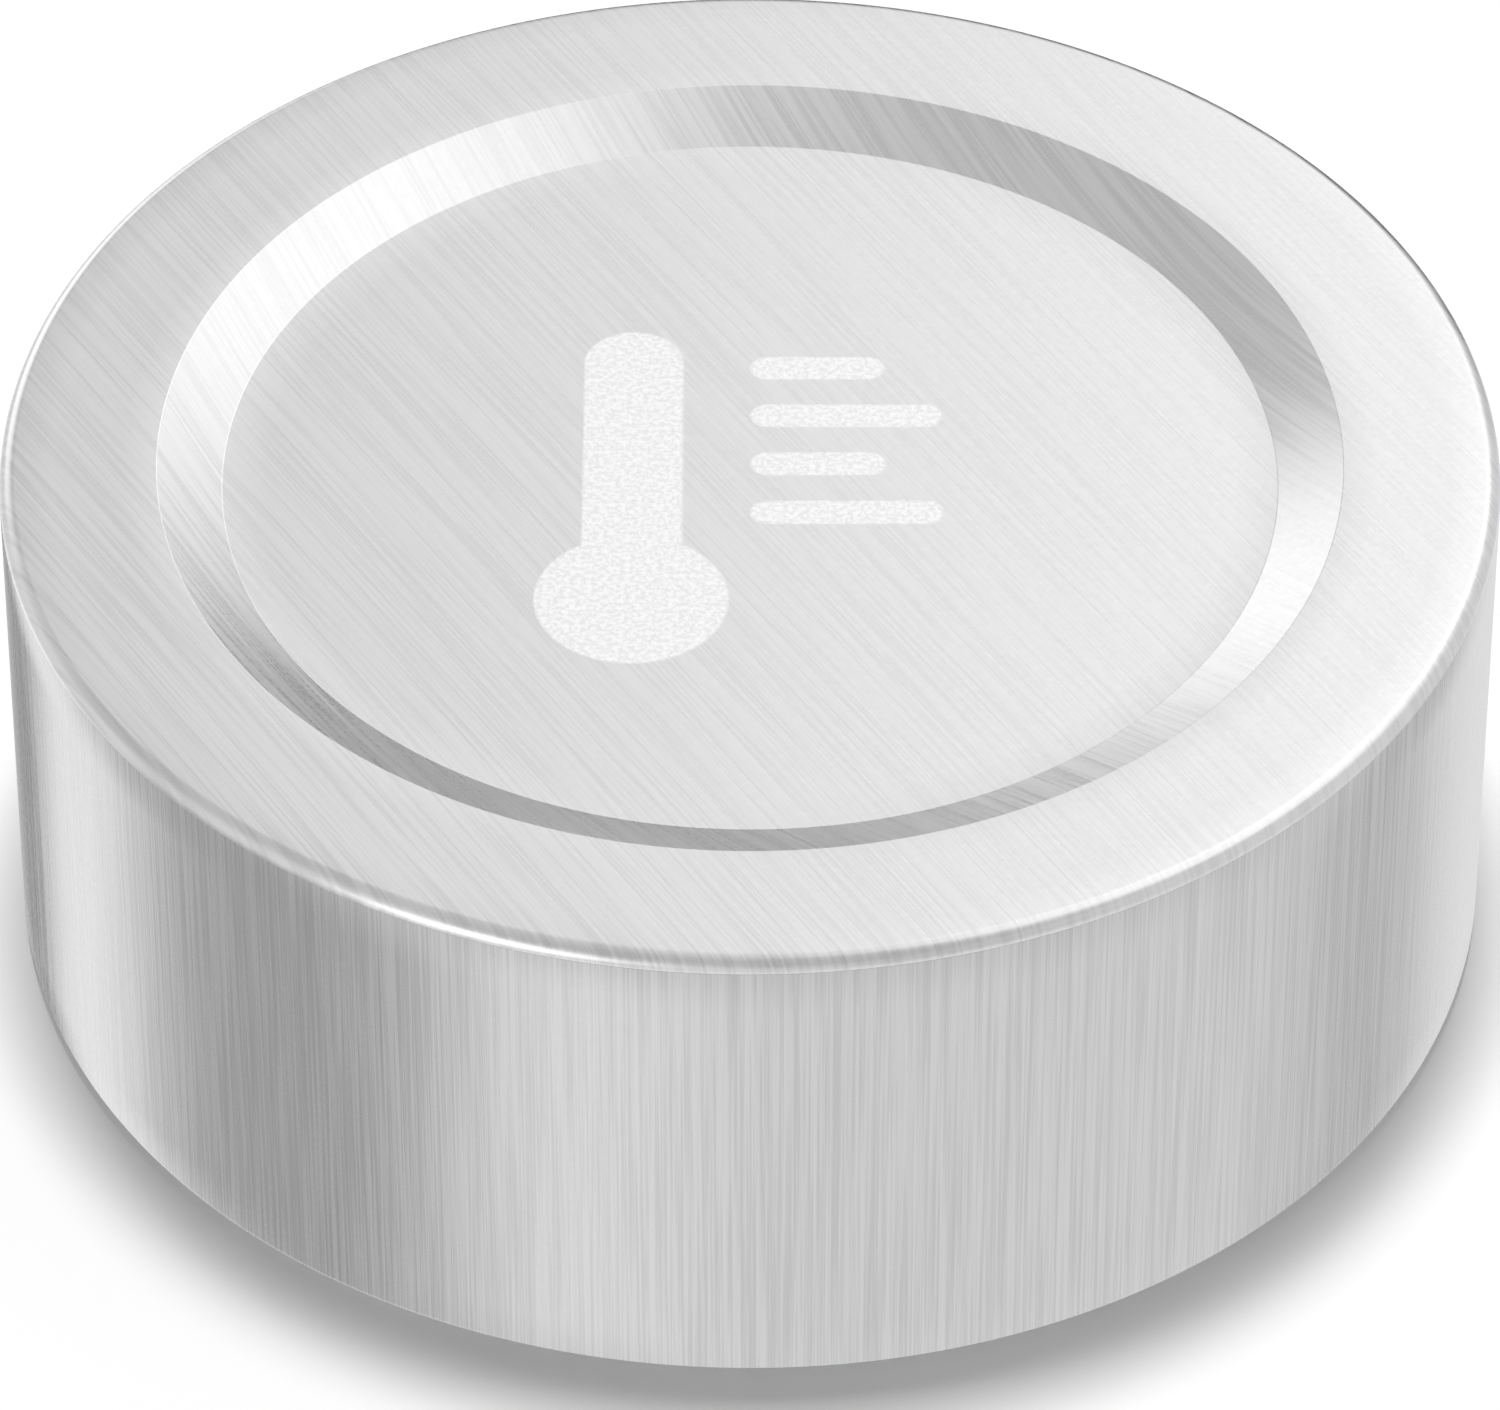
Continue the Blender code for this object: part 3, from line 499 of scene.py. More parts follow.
def makeDialSkirt(sideFinish, insideFinish):
    c = cap
    top = dialTop - c["fillet"] - c["seam"] / 2
    low = c["skirtLow"]
    inner = dialRadius - c["wall"]
    rows = c["skirtRows"]
    profile = [(inner + c["skirtInset"], top)]
    profile += arc((dialRadius - c["seamRound"], top - c["seamRound"]), c["seamRound"], 90, 0, 3)
    profile += [(dialRadius, top + (low - top) * step / rows) for step in range(1, rows)]
    profile += arc((dialRadius - c["lowRound"], low + c["lowRound"]), c["lowRound"], 0, -90, 5)
    outerCount = len(profile)
    profile += [(inner + c["skirtChamfer"], low), (inner, low + c["skirtChamfer"])]
    profile += [(inner, top - c["skirtSlope"])]
    made = lathe(
        "dial_skirt", profile, [sideFinish, insideFinish],
        choose=lambda row: 0 if row < outerCount else 1, facets=c["facets"],
    )
    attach(made, "dial")


turnedInside = {
    "metal": (0.60, 0.60, 0.605, 1),
    "blotch": (0.74, 0.74, 0.745, 1),
    "blotches": 120.0,  # per metre
    "rings": 3800.0,
    "roughness": 0.36,
    "ringRoughness": 0.3,
    "bumpDepth": 0.00001,
    "bumpStrength": 0.8,
}


def dialInsideFinish():
    t = turnedInside
    finish = Finish("dial_inside_turned", metallic=1.0)
    place = finish.place()
    rings = finish.noise(finish.roundAxis(place), t["rings"], detail=2.0, roughness=0.6)
    blotch = finish.noise(place, t["blotches"], detail=3.0)
    finish.drive("colour", finish.mixed(blotch, t["metal"], t["blotch"]))
    finish.drive("roughness", t["roughness"] + (rings - 0.5) * t["ringRoughness"])
    finish.drive("normal", finish.bump(rings, t["bumpDepth"], t["bumpStrength"]))
    return finish.material


inside = dialInsideFinish()
makeDialFace(dialFaceFinish(), inside)
makeDialSkirt(skirtSideFinish(), inside)
print("dial made")


plastics = {  # colour, the paler or darker cast that flows through it, roughness, grain in metres
    "white_plastic": {
        "colour": (0.79, 0.79, 0.78, 1), "cast": (0.765, 0.765, 0.75, 1), "roughness": 0.46,
        "grain": 0.000022,
    },
    "grey_plastic": {
        "colour": (0.46, 0.47, 0.48, 1), "cast": (0.38, 0.39, 0.40, 1), "roughness": 0.42, "grain": 0.000010,
    },
    "black_plastic": {
        "colour": (0.030, 0.030, 0.032, 1), "cast": (0.045, 0.045, 0.047, 1), "roughness": 0.40,
        "grain": 0.000010,
    },
    "carrier_nylon": {
        "colour": (0.74, 0.735, 0.70, 1), "cast": (0.66, 0.65, 0.61, 1), "roughness": 0.50, "grain": 0.000012,
    },
    "gear_acetal": {
        "colour": (0.86, 0.86, 0.83, 1), "cast": (0.80, 0.80, 0.76, 1), "roughness": 0.32, "grain": 0.000004,
    },
    "relay_plastic": {
        "colour": (0.035, 0.065, 0.12, 1), "cast": (0.05, 0.085, 0.145, 1), "roughness": 0.24,
        "grain": 0.000004,
    },
    "tab_plastic": {
        "colour": (0.78, 0.31, 0.06, 1), "cast": (0.68, 0.25, 0.045, 1), "roughness": 0.36,
        "grain": 0.000006,
    },
}


moulding = {
    "flow": 90.0,  # per metre
    "flowStretch": (1.0, 0.45, 1.0),
    "flowTurn": 0.5,
    "flowLevels": (0.32, 0.7),
    "flowRoughness": 0.10,
    "fine": 4200.0,
    "fineRoughness": 0.16,
    "fineRise": 0.6,
    "pits": 2500.0,
    "pitRise": 0.5,
    "bumpStrength": 0.8,
    "specular": 0.45,
}


def plasticFinish(name):
    p = plastics[name]
    m = moulding
    finish = Finish(name + "_moulded", specular=m["specular"])
    place = finish.place()
    stretched = finish.stretch(place, m["flowStretch"], m["flowTurn"])
    flow = finish.noise(stretched, m["flow"], detail=3.0, roughness=0.55)
    fine = finish.noise(place, m["fine"], detail=2.0, roughness=0.6)
    pits = finish.cells(place, m["pits"])
    finish.drive("colour", finish.mixed(flow.between(*m["flowLevels"]), p["colour"], p["cast"]))
    uneven = (fine - 0.5) * m["fineRoughness"]
    finish.drive("roughness", p["roughness"] + uneven + (flow - 0.5) * m["flowRoughness"])
    height = fine * m["fineRise"] + pits * m["pitRise"]
    finish.drive("normal", finish.bump(height, p["grain"], m["bumpStrength"]))
    return finish.material


metals = {  # colour, the stain on it, roughness, how the tool ran, lines per metre, depth in metres
    "spring_steel": {
        "colour": (0.60, 0.60, 0.61, 1), "stain": (0.50, 0.49, 0.48, 1), "roughness": 0.30,
        "run": (1.0, 1.0, 0.03), "lines": 5200.0, "depth": 0.000005,
    },
    "race_steel": {
        "colour": (0.70, 0.70, 0.71, 1), "stain": (0.62, 0.62, 0.64, 1), "roughness": 0.17,
        "run": "turned", "lines": 5200.0, "depth": 0.000003,
    },
    "ball_steel": {
        "colour": (0.80, 0.80, 0.81, 1), "stain": (0.72, 0.73, 0.75, 1), "roughness": 0.07,
        "run": (1.0, 1.0, 1.0), "lines": 2600.0, "depth": 0.000001,
    },
    "cage_brass": {
        "colour": (0.80, 0.60, 0.27, 1), "stain": (0.58, 0.40, 0.17, 1), "roughness": 0.30,
        "run": "turned", "lines": 3600.0, "depth": 0.000005,
    },
    "screw_zinc": {
        "colour": (0.68, 0.69, 0.70, 1), "stain": (0.58, 0.57, 0.49, 1), "roughness": 0.28,
        "run": (1.0, 1.0, 1.0), "lines": 2200.0, "depth": 0.000006,
    },
    "shield_tin": {
        "colour": (0.76, 0.77, 0.76, 1), "stain": (0.66, 0.67, 0.66, 1), "roughness": 0.30,
        "run": (0.04, 1.0, 1.0), "lines": 4200.0, "depth": 0.000006,
    },
    "solder": {
        "colour": (0.72, 0.73, 0.74, 1), "stain": (0.60, 0.61, 0.63, 1), "roughness": 0.30,
        "run": (1.0, 1.0, 1.0), "lines": 5000.0, "depth": 0.000012,
    },
}


working = {
    "lineRoughness": 0.20,
    "stains": 260.0,  # per metre
    "stainLevels": (0.45, 0.72),
    "stainRoughness": 0.12,
    "bumpStrength": 0.8,
}


def metalFinish(name):
    m = metals[name]
    w = working
    finish = Finish(name + "_worked", metallic=1.0)
    place = finish.place()
    if m["run"] == "turned":
        along = finish.roundAxis(place)
    else:
        along = finish.stretch(place, m["run"])
    lines = finish.noise(along, m["lines"], detail=2.0, roughness=0.6)
    stain = finish.noise(place, w["stains"], detail=4.0, roughness=0.6)
    finish.drive("colour", finish.mixed(stain.between(*w["stainLevels"]), m["colour"], m["stain"]))
    uneven = (lines - 0.5) * w["lineRoughness"]
    finish.drive("roughness", m["roughness"] + uneven + (stain - 0.5) * w["stainRoughness"])
    finish.drive("normal", finish.bump(lines, m["depth"], w["bumpStrength"]))
    return finish.material


circuit = {
    "mask": (0.012, 0.135, 0.055, 1),
    "trace": (0.035, 0.235, 0.105, 1),
    "fibre": (0.46, 0.43, 0.24, 1),
    "tin": (0.70, 0.71, 0.70, 1),
    # painted shade: each via's hole is not cut, and a black dot painted in it stands for the shade inside
    "holeShade": (0.02, 0.02, 0.02, 1),
    "run": 5.2 * mm,  # length of a straight trace
    "pitch": 0.95 * mm,
    "gap": 0.10 * mm,
    "shift": 0.37,  # of a trace, from one row to the next
    "regions": 110.0,  # per metre, where the traces run the other way
    "regionEdge": (0.485, 0.515),
    "vias": 360.0,
    "viaEdge": (0.095, 0.11),
    "drillEdge": (0.045, 0.055),
    "weave": 2600.0,
    "flatEdge": (0.3, 0.5),  # how level a surface is before the mask covers it
    "roughness": 0.26,
    "weaveRoughness": 0.12,
    "edgeRoughness": 0.35,
    "traceRise": 0.5,
    "viaRise": 0.7,
    "weaveRise": 0.12,
    "bumpDepth": 0.00003,
    "bumpStrength": 0.8,
    "specular": 0.5,
}


def traces(finish, along, across):
    # long bricks whose joints are the copper under the mask
    c = circuit
    sockets = {
        "Vector": finish.joined(along, across, 0.0), "Scale": 1.0, "Mortar Size": c["gap"],
        "Mortar Smooth": 0.1, "Brick Width": c["run"], "Row Height": c["pitch"],
    }
    return finish.node("ShaderNodeTexBrick", {"offset": c["shift"]}, sockets, out=1)


def circuitFinish():
    c = circuit
    finish = Finish("circuit_board_mask", specular=c["specular"])
    place = finish.place()
    x, y = finish.split(place)[:2]
    level = finish.joined(x, y, 0.0)
    region = finish.noise(level, c["regions"], detail=1.0).between(*c["regionEdge"])
    trace = traces(finish, x, y) * (1 - region) + traces(finish, y, x) * region
    spot = finish.cells(level, c["vias"])
    ring = 1 - spot.between(*c["viaEdge"])
    # the painted black dot in each via, standing for the shade inside its hole
    holeShade = 1 - spot.between(*c["drillEdge"])
    weave = finish.noise(finish.stretch(place, (1.0, 1.0, 0.2)), c["weave"], detail=2.0)
    facing = finish.split(finish.node("ShaderNodeTexCoord", out=1))[2]
    flat = abs(facing).between(*c["flatEdge"])
    masked = finish.mixed(trace, c["mask"], c["trace"])
    plated = finish.mixed(holeShade, finish.mixed(ring, masked, c["tin"]), c["holeShade"])
    finish.drive("colour", finish.mixed(flat, c["fibre"], plated))
    finish.drive("metallic", flat * ring * (1 - holeShade))
    uneven = weave * c["weaveRoughness"]
    finish.drive("roughness", c["roughness"] + uneven + (1 - flat) * c["edgeRoughness"])
    height = trace * c["traceRise"] + ring * c["viaRise"] + weave * c["weaveRise"]
    finish.drive("normal", finish.bump(height, c["bumpDepth"], c["bumpStrength"]))
    return finish.material


foil = {
    "skin": (0.42, 0.44, 0.48, 1),
    "crest": (0.56, 0.58, 0.61, 1),
    "creases": 420.0,  # per metre
    "creaseStretch": (1.0, 0.5, 1.0),
    "creaseTurn": 0.3,
    "creaseLevels": (0.3, 0.7),
    "creaseRoughness": 0.2,
    "weave": 3800.0,
    "weaveRoughness": 0.1,
    "weaveRise": 0.15,
    "roughness": 0.30,
    "metallic": 0.85,
    "coat": 0.3,
    "bumpDepth": 0.00006,
    "bumpStrength": 0.7,
}


def foilFinish():
    # the battery's laminated pouch: soft creases across a dull metal skin
    f = foil
    finish = Finish("battery_foil", metallic=f["metallic"], coat=f["coat"])
    place = finish.place()
    stretched = finish.stretch(place, f["creaseStretch"], f["creaseTurn"])
    crease = finish.noise(stretched, f["creases"], detail=4.0, roughness=0.6)
    weave = finish.noise(place, f["weave"], detail=2.0)
    finish.drive("colour", finish.mixed(crease.between(*f["creaseLevels"]), f["skin"], f["crest"]))
    uneven = (crease - 0.5) * f["creaseRoughness"]
    finish.drive("roughness", f["roughness"] + uneven + (weave - 0.5) * f["weaveRoughness"])
    finish.drive("normal", finish.bump(crease + weave * f["weaveRise"], f["bumpDepth"], f["bumpStrength"]))
    return finish.material


chipBody = {
    "black": (0.025, 0.025, 0.027, 1),
    "brown": (0.20, 0.15, 0.11, 1),
    "patches": 300.0,  # per metre
    "grain": 5200.0,
    "roughness": 0.38,
    "grainRoughness": 0.2,
    "specular": 0.5,
    "bumpDepth": 0.000008,
    "bumpStrength": 0.8,
}


def chipFinish():
    # the black and brown moulded parts of the boards; a patch's tone is the same all the way up
    c = chipBody
    finish = Finish("chip_body", specular=c["specular"])
    place = finish.place()
    grain = finish.noise(place, c["grain"], detail=2.0)
    patch = finish.cells(finish.stretch(place, (1.0, 1.0, 0.0)), c["patches"])
    finish.drive("colour", finish.mixed(patch, c["black"], c["brown"]))
    finish.drive("roughness", c["roughness"] + (grain - 0.5) * c["grainRoughness"])
    finish.drive("normal", finish.bump(grain, c["bumpDepth"], c["bumpStrength"]))
    return finish.material


finishes = {name: plasticFinish(name) for name in plastics}
finishes.update({name: metalFinish(name) for name in metals})
finishes["circuit_board"] = circuitFinish()
finishes["battery_film"] = foilFinish()
finishes["chip"] = chipFinish()
print("inner finishes made")


def shadeGroup():
    # smooth shading as a modifier, because the CAD meshes stay as they came
    group = bpy.data.node_groups.new("smoothFaces", "GeometryNodeTree")
    group.interface.new_socket("Mesh", in_out="INPUT", socket_type="NodeSocketGeometry")
    group.interface.new_socket("Mesh", in_out="OUTPUT", socket_type="NodeSocketGeometry")
    source = group.nodes.new("NodeGroupInput")
    smooth = group.nodes.new("GeometryNodeSetShadeSmooth")
    target = group.nodes.new("NodeGroupOutput")
    group.links.new(source.outputs[0], smooth.inputs[0])
    group.links.new(smooth.outputs[0], target.inputs[0])
    return group


smoothFaces = shadeGroup()
edgeWidths = {  # how far each piece's edges are rounded, in metres
    "wall_plate": 0.22 * mm, "rear_cover": 0.22 * mm, "chassis": 0.20 * mm, "terminal_block_left": 0.15 * mm,
    "terminal_block_right": 0.15 * mm, "base_connector": 0.2 * mm, "head_connector": 0.18 * mm,
    "processor_shield": 0.1 * mm, "radio_module": 0.1 * mm, "backup_battery": 0.3 * mm,
    "dial_hub": 0.15 * mm, "dial_carrier": 0.12 * mm, "encoder_gear": 0.08 * mm,
}
dressing = {
    "usualEdge": 0.08 * mm,
    "weld": 0.001 * mm,
    "segments": 2,
    "roundAbove": 32,  # degrees between two faces
}


def dress(node, finish):
    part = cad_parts[node]
    for slot in part.material_slots:
        slot.material = finish
    weld = part.modifiers.new("weld", "WELD")
    weld.merge_threshold = dressing["weld"]
    edges = part.modifiers.new("edges", "BEVEL")
    edges.width = edgeWidths.get(node, dressing["usualEdge"])
    edges.segments = dressing["segments"]
    edges.limit_method = "ANGLE"
    edges.angle_limit = math.radians(dressing["roundAbove"])
    shade = part.modifiers.new("shade", "NODES")
    shade.node_group = smoothFaces
    weights = part.modifiers.new("weights", "WEIGHTED_NORMAL")
    weights.keep_sharp = False


replaced = {"dial_cap", "level_vial", "bearing_inner_race", "bearing_outer_race", "switch_plunger", "buzzer"}
ballNumbers = range(1, 11)
replaced.update(f"bearing_ball_{number}" for number in ballNumbers)
for nodeName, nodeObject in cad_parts.items():
    if nodeName not in replaced:
        material = nodeObject.material_slots[0].material.name.split(".")[0]
        dress(nodeName, finishes[material])
print("CAD pieces dressed")


def middle(node):
    # a node's centre and half its size
    low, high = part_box(node)
    return (low + high) / 2, (high - low) / 2


bearing = {
    "groove": 1.32 * mm,
    "grooveAt": 15.1 * mm,
    "grooveSteps": 10,
    "raceWall": 1.5 * mm,
    "round": 0.25 * mm,
    "wallCut": 0.4,  # of the round, at the edges beside the balls
    "backCut": 0.3,  # and on the way round the far edges
    "facets": 96,
}


def makeRace(node, wall, back, body):
    # wall is the radius that faces the balls, back the one that faces away
    b = bearing
    centre, half = middle(node)
    top, low = centre.z + half.z, centre.z - half.z
    out = 1 if back > wall else -1
    mouth = math.degrees(math.acos(abs(wall - b["grooveAt"]) / b["groove"]))
    turn = 0 if out > 0 else 180
    groove = arc((b["grooveAt"], centre.z), b["groove"], turn + mouth, turn - mouth, b["grooveSteps"])
    if out < 0:
        groove.reverse()
    corner = b["round"]
    near = corner * b["wallCut"]
    far = corner * b["backCut"]
    wallSide = [(wall + out * near, top), (wall, top - near)] + groove
    wallSide += [(wall, low + near), (wall + out * near, low)]
    backSide = [(back - out * corner, low), (back - out * far, low + far)]
    backSide += [(back, low + corner), (back, top - corner)]
    backSide += [(back - out * far, top - far), (back - out * corner, top)]
    profile = wallSide + backSide
    if out > 0:
        profile.reverse()
    made = lathe(node + "_ground", profile, [finishes["race_steel"]], facets=b["facets"])
    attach(made, body)
    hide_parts(node)


ball = {
    "poleStart": 78,  # degrees up, where the rows of facets end
    "rows": 13,
    "facets": 32,
    "sharp": 60.0,
}


def makeBall(number):
    b = ball
    node = f"bearing_ball_{number}"
    centre, half = middle(node)
    radius = half.z
    rows = arc((0.0, 0.0), radius, b["poleStart"], -b["poleStart"], b["rows"])
    profile = [(0.0, radius)] + rows + [(0.0, -radius)]
    coats = [finishes["ball_steel"]]
    made = lathe(node + "_polished", profile, coats, facets=b["facets"], sharp=b["sharp"], solid=True)
    made.data.transform(Matrix.Translation(centre))
    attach(made, "ball_cage")
    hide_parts(node)


plunger = {
    "round": 0.4 * mm,
    "chamfer": 0.2 * mm,
    "facets": 48,
}


def makePlunger():
    p = plunger
    centre, half = middle("switch_plunger")
    radius, top, low = half.x, centre.z + half.z, centre.z - half.z
    corner = p["round"]
    profile = [(0.0, top)] + arc((radius - corner, top - corner), corner, 90, 0, 5)
    profile += [(radius, low + corner), (radius - p["chamfer"], low), (0.0, low)]
    made = lathe("switch_plunger_moulded", profile, [finishes["grey_plastic"]], facets=p["facets"], solid=True)
    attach(made, "press_unit")
    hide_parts("switch_plunger")


buzzer = {
    "hole": 0.9 * mm,
    "holeDepth": 0.9 * mm,
    "holeChamfer": 0.1 * mm,
    "groove": (1.0 * mm, 0.9 * mm, 0.8 * mm),  # inner edge, bottom and outer edge, in from the side
    "grooveDepth": 0.12 * mm,
    "round": 0.3 * mm,
    "chamfer": 0.1 * mm,
    "facets": 64,
}


def makeBuzzer():
    b = buzzer
    centre, half = middle("buzzer")
    radius, top, low = half.x, half.z, -half.z
    hole, corner = b["hole"], b["round"]
    profile = [(0.0, top - b["holeDepth"]), (hole, top - b["holeDepth"])]
    profile += [(hole, top - b["holeChamfer"]), (hole + b["holeChamfer"], top)]
    grooveStart, grooveMiddle, grooveEnd = b["groove"]
    profile += [(radius - grooveStart, top), (radius - grooveMiddle, top - b["grooveDepth"])]
    profile += [(radius - grooveEnd, top)]
    profile += arc((radius - corner, top - corner), corner, 90, 0, 4)
    profile += [(radius, low + b["chamfer"]), (radius - b["chamfer"], low), (0.0, low)]
    made = lathe("buzzer_moulded", profile, [finishes["black_plastic"]], facets=b["facets"], solid=True)
    made.data.transform(Matrix.Translation(centre))
    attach(made, "head")
    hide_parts("buzzer")


vial = {
    "wall": 0.35 * mm,
    "bubbleLength": 2.4 * mm,
    "bubbleRadius": 0.85 * mm,
    "bubbleEnd": 0.95,  # how far its ends are rounded, of its radius
    "bubbleGap": 0.05 * mm,
    "tubeRound": 0.6 * mm,
    "fillingRound": 0.5 * mm,
    "lineAt": 1.75 * mm,
    "lineWidth": 0.28 * mm,
    "lineProud": 0.02 * mm,
    "lineDepth": 0.1 * mm,
    "facets": 48,
    "bubbleFacets": 32,
    "ior": 1.45,
    "clouds": 420.0,  # per metre
    "roughness": 0.02,
    "cloudRoughness": 0.04,
    "tube": {"low": (0.93, 0.97, 0.92, 1), "high": (0.96, 0.99, 0.95, 1), "clear": 1.0},
    "fluid": {"low": (0.50, 0.80, 0.10, 1), "high": (0.62, 0.88, 0.16, 1), "clear": 0.75},
    "air": {"low": (0.97, 1.0, 0.93, 1), "high": (1.0, 1.0, 0.97, 1), "clear": 0.6},
}


def vialFinish(name, tint):
    v = vial
    finish = Finish(name, ior=v["ior"], transmission=tint["clear"])
    cloud = finish.noise(finish.place(), v["clouds"], detail=2.0)
    finish.drive("colour", finish.mixed(cloud, tint["low"], tint["high"]))
    finish.drive("roughness", v["roughness"] + cloud * v["cloudRoughness"])
    return finish.material


def alongX(centre):
    return Matrix.Translation(centre) @ Matrix.Rotation(math.pi / 2, 4, "Y")


def capsuleProfile(radius, halfLength, corner):
    profile = [(0.0, halfLength)] + arc((radius - corner, halfLength - corner), corner, 90, 0, 6)
    return profile + arc((radius - corner, corner - halfLength), corner, 0, -90, 6) + [(0.0, -halfLength)]


def vialPiece(name, radius, halfLength, corner, finish, facets):
    return lathe(name, capsuleProfile(radius, halfLength, corner), [finish], facets=facets, solid=True)


def makeVial():
    v = vial
    centre, half = middle("level_vial")
    clear = vialFinish("vial_tube", v["tube"])
    fluid = vialFinish("vial_fluid_tint", v["fluid"])
    air = vialFinish("vial_bubble_air", v["air"])
    inner = half.z - v["wall"]
    fillingHalf = half.x - v["wall"]
    radius = v["bubbleRadius"]
    tube = vialPiece("level_vial_tube", half.z, half.x, v["tubeRound"], clear, v["facets"])
    filling = vialPiece("level_vial_filling", inner, fillingHalf, v["fillingRound"], fluid, v["facets"])
    bubble = vialPiece(
        "level_vial_bubble", radius, v["bubbleLength"] / 2, radius * v["bubbleEnd"], air, v["bubbleFacets"],
    )
    lift = Vector((0, 0, inner - radius - v["bubbleGap"]))
    for piece, shift in ((tube, Vector()), (filling, Vector()), (bubble, lift)):
        piece.data.transform(alongX(centre + shift))
        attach(piece, "wall_base")
    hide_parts("level_vial")
    rim = half.z + v["lineProud"]
    under = rim - v["lineDepth"]
    across = v["lineWidth"] / 2
    profile = [(rim, across), (rim, -across), (under, -across), (under, across)]
    for side, name in ((-1, "left"), (1, "right")):
        line = lathe("level_vial_line_" + name, profile, [finishes["black_plastic"]], facets=v["facets"])
        line.data.transform(alongX(centre + Vector((side * v["lineAt"], 0, 0))))
        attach(line, "wall_base")


innerRadius = middle("bearing_inner_race")[1].x
outerRadius = middle("bearing_outer_race")[1].x
makeRace("bearing_inner_race", innerRadius, innerRadius - bearing["raceWall"], "press_unit")
makeRace("bearing_outer_race", outerRadius - bearing["raceWall"], outerRadius, "dial")
for ballNumber in ballNumbers:
    makeBall(ballNumber)
makePlunger()
makeBuzzer()
makeVial()
print("bearing, plunger, buzzer and vial made")


def blocks(name, rows, coats, body, edge=0.05 * mm):
    # rows of (centre, size, turn in degrees, finish number), joined into one piece
    mesh = bpy.data.meshes.new(name)
    shape = bmesh.new()
    for centre, size, turn, number in rows:
        place = Matrix.Translation(centre) @ Matrix.Rotation(math.radians(turn), 4, "Z")
        made = bmesh.ops.create_cube(shape, size=1.0, matrix=place @ Matrix.Diagonal((*size, 1.0)))
        own = set(made["verts"])
        for face in {face for vert in own for face in vert.link_faces}:
            face.material_index = number
        edges = list({each for vert in own for each in vert.link_edges})
        bmesh.ops.bevel(shape, geom=edges, offset=edge, segments=2, profile=0.5, affect="EDGES")
    for face in shape.faces:
        face.smooth = True
    shape.to_mesh(mesh)
    shape.free()
    made = added(name, mesh)
    for coat in coats:
        mesh.materials.append(coat)
    weights = made.modifiers.new("weights", "WEIGHTED_NORMAL")
    weights.keep_sharp = False
    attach(made, body)


chips = {  # the boards' surface parts
    "sizes": (  # length, width and height
        (1.6 * mm, 0.8 * mm, 0.45 * mm),
        (1.0 * mm, 0.5 * mm, 0.35 * mm),
        (2.0 * mm, 1.25 * mm, 0.6 * mm),
    ),
    "capLength": 0.2,  # of the length, for the solder at each end
    "body": (0.66, 0.94, 0.96),  # of the whole size
    "lift": 0.01 * mm,
    "leftOut": 0.35,  # the share of places that stay empty
}


def chipRows(x, y, top, turn, size):
    # a body with a soldered cap at each end
    length, width, height = size
    bodyLength, bodyWidth, bodyHeight = chips["body"]
    solder = length * chips["capLength"]
    step = Vector((math.cos(math.radians(turn)), math.sin(math.radians(turn)), 0)) * (length - solder) / 2
    centre = Vector((x, y, top + height / 2))
    yield centre, (length * bodyLength, width * bodyWidth, height * bodyHeight), turn, 0
    yield centre + step, (solder, width, height), turn, 1
    yield centre - step, (solder, width, height), turn, 1


def freeOf(x, y, room, boxes):
    return all(
        x < low.x - room or x > high.x + room or y < low.y - room or y > high.y + room for low, high in boxes
    )


boards = {
    "main_board": {
        "body": "head", "columns": 17, "rows": 17, "room": 1.5 * mm, "reach": 26.4 * mm,
        "neighbours": (
            "processor_shield", "radio_module", "backup_battery", "climate_sensor", "buzzer", "press_switch",
        ),
    },
    "terminal_board": {
        "body": "wall_base", "columns": 25, "rows": 17, "room": 1.1 * mm, "margin": 1.3 * mm,
        "neighbours": (
            "terminal_block_left", "terminal_block_right", "base_connector", "heating_relay", "cooling_relay",
            "board_screw_1", "board_screw_2",
        ),
        "opening": (Vector((-9.0 * mm, -7.0 * mm, 0)), Vector((9.0 * mm, 11.0 * mm, 0))),
    },
}


def onBoard(settings, x, y, low, high):
    # a round board has a reach from its middle, and one with corners a margin inside its edges
    if "reach" in settings:
        return math.hypot(x, y) < settings["reach"]
    margin = settings["margin"]
    return low.x + margin < x < high.x - margin and low.y + margin < y < high.y - margin


def makeBoardParts(board, settings):
    low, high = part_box(board)
    columns, rows = settings["columns"], settings["rows"]
    boxes = [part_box(node) for node in settings["neighbours"]]
    if "opening" in settings:
        boxes.append(settings["opening"])
    dice = random.Random(board)
    made = []
    for column in range(columns):
        for row in range(rows):
            x = low.x + (column + 0.5) * (high.x - low.x) / columns
            y = low.y + (row + 0.5) * (high.y - low.y) / rows
            size = chips["sizes"][dice.randrange(len(chips["sizes"]))]
            turn = dice.choice((0, 90))
            skip = dice.random() < chips["leftOut"]
            if skip or not onBoard(settings, x, y, low, high) or not freeOf(x, y, settings["room"], boxes):
                continue
            made.extend(chipRows(x, y, high.z + chips["lift"], turn, size))
    chipFinishes = [finishes["chip"], finishes["solder"]]
    blocks(board + "_chips", made, chipFinishes, settings["body"])


for boardName, boardSettings in boards.items():
    makeBoardParts(boardName, boardSettings)
print("board parts made")


trim = {
    "poles": 4,  # of each terminal block, with a tab for each
    "ribWidth": 0.45 * mm,
    "ribRise": 0.25 * mm,
    "ribGap": 0.6 * mm,  # from the block's edge and from a tab
    "sink": 0.02 * mm,  # how deep a rib or a pip sits in what carries it
    "flange": 0.35 * mm,
    "flangeHeight": 0.8 * mm,
    "pip": (1.2 * mm, 1.2 * mm, 0.2 * mm),
    "pipAt": 1.6 * mm,  # in from the lid's end
}


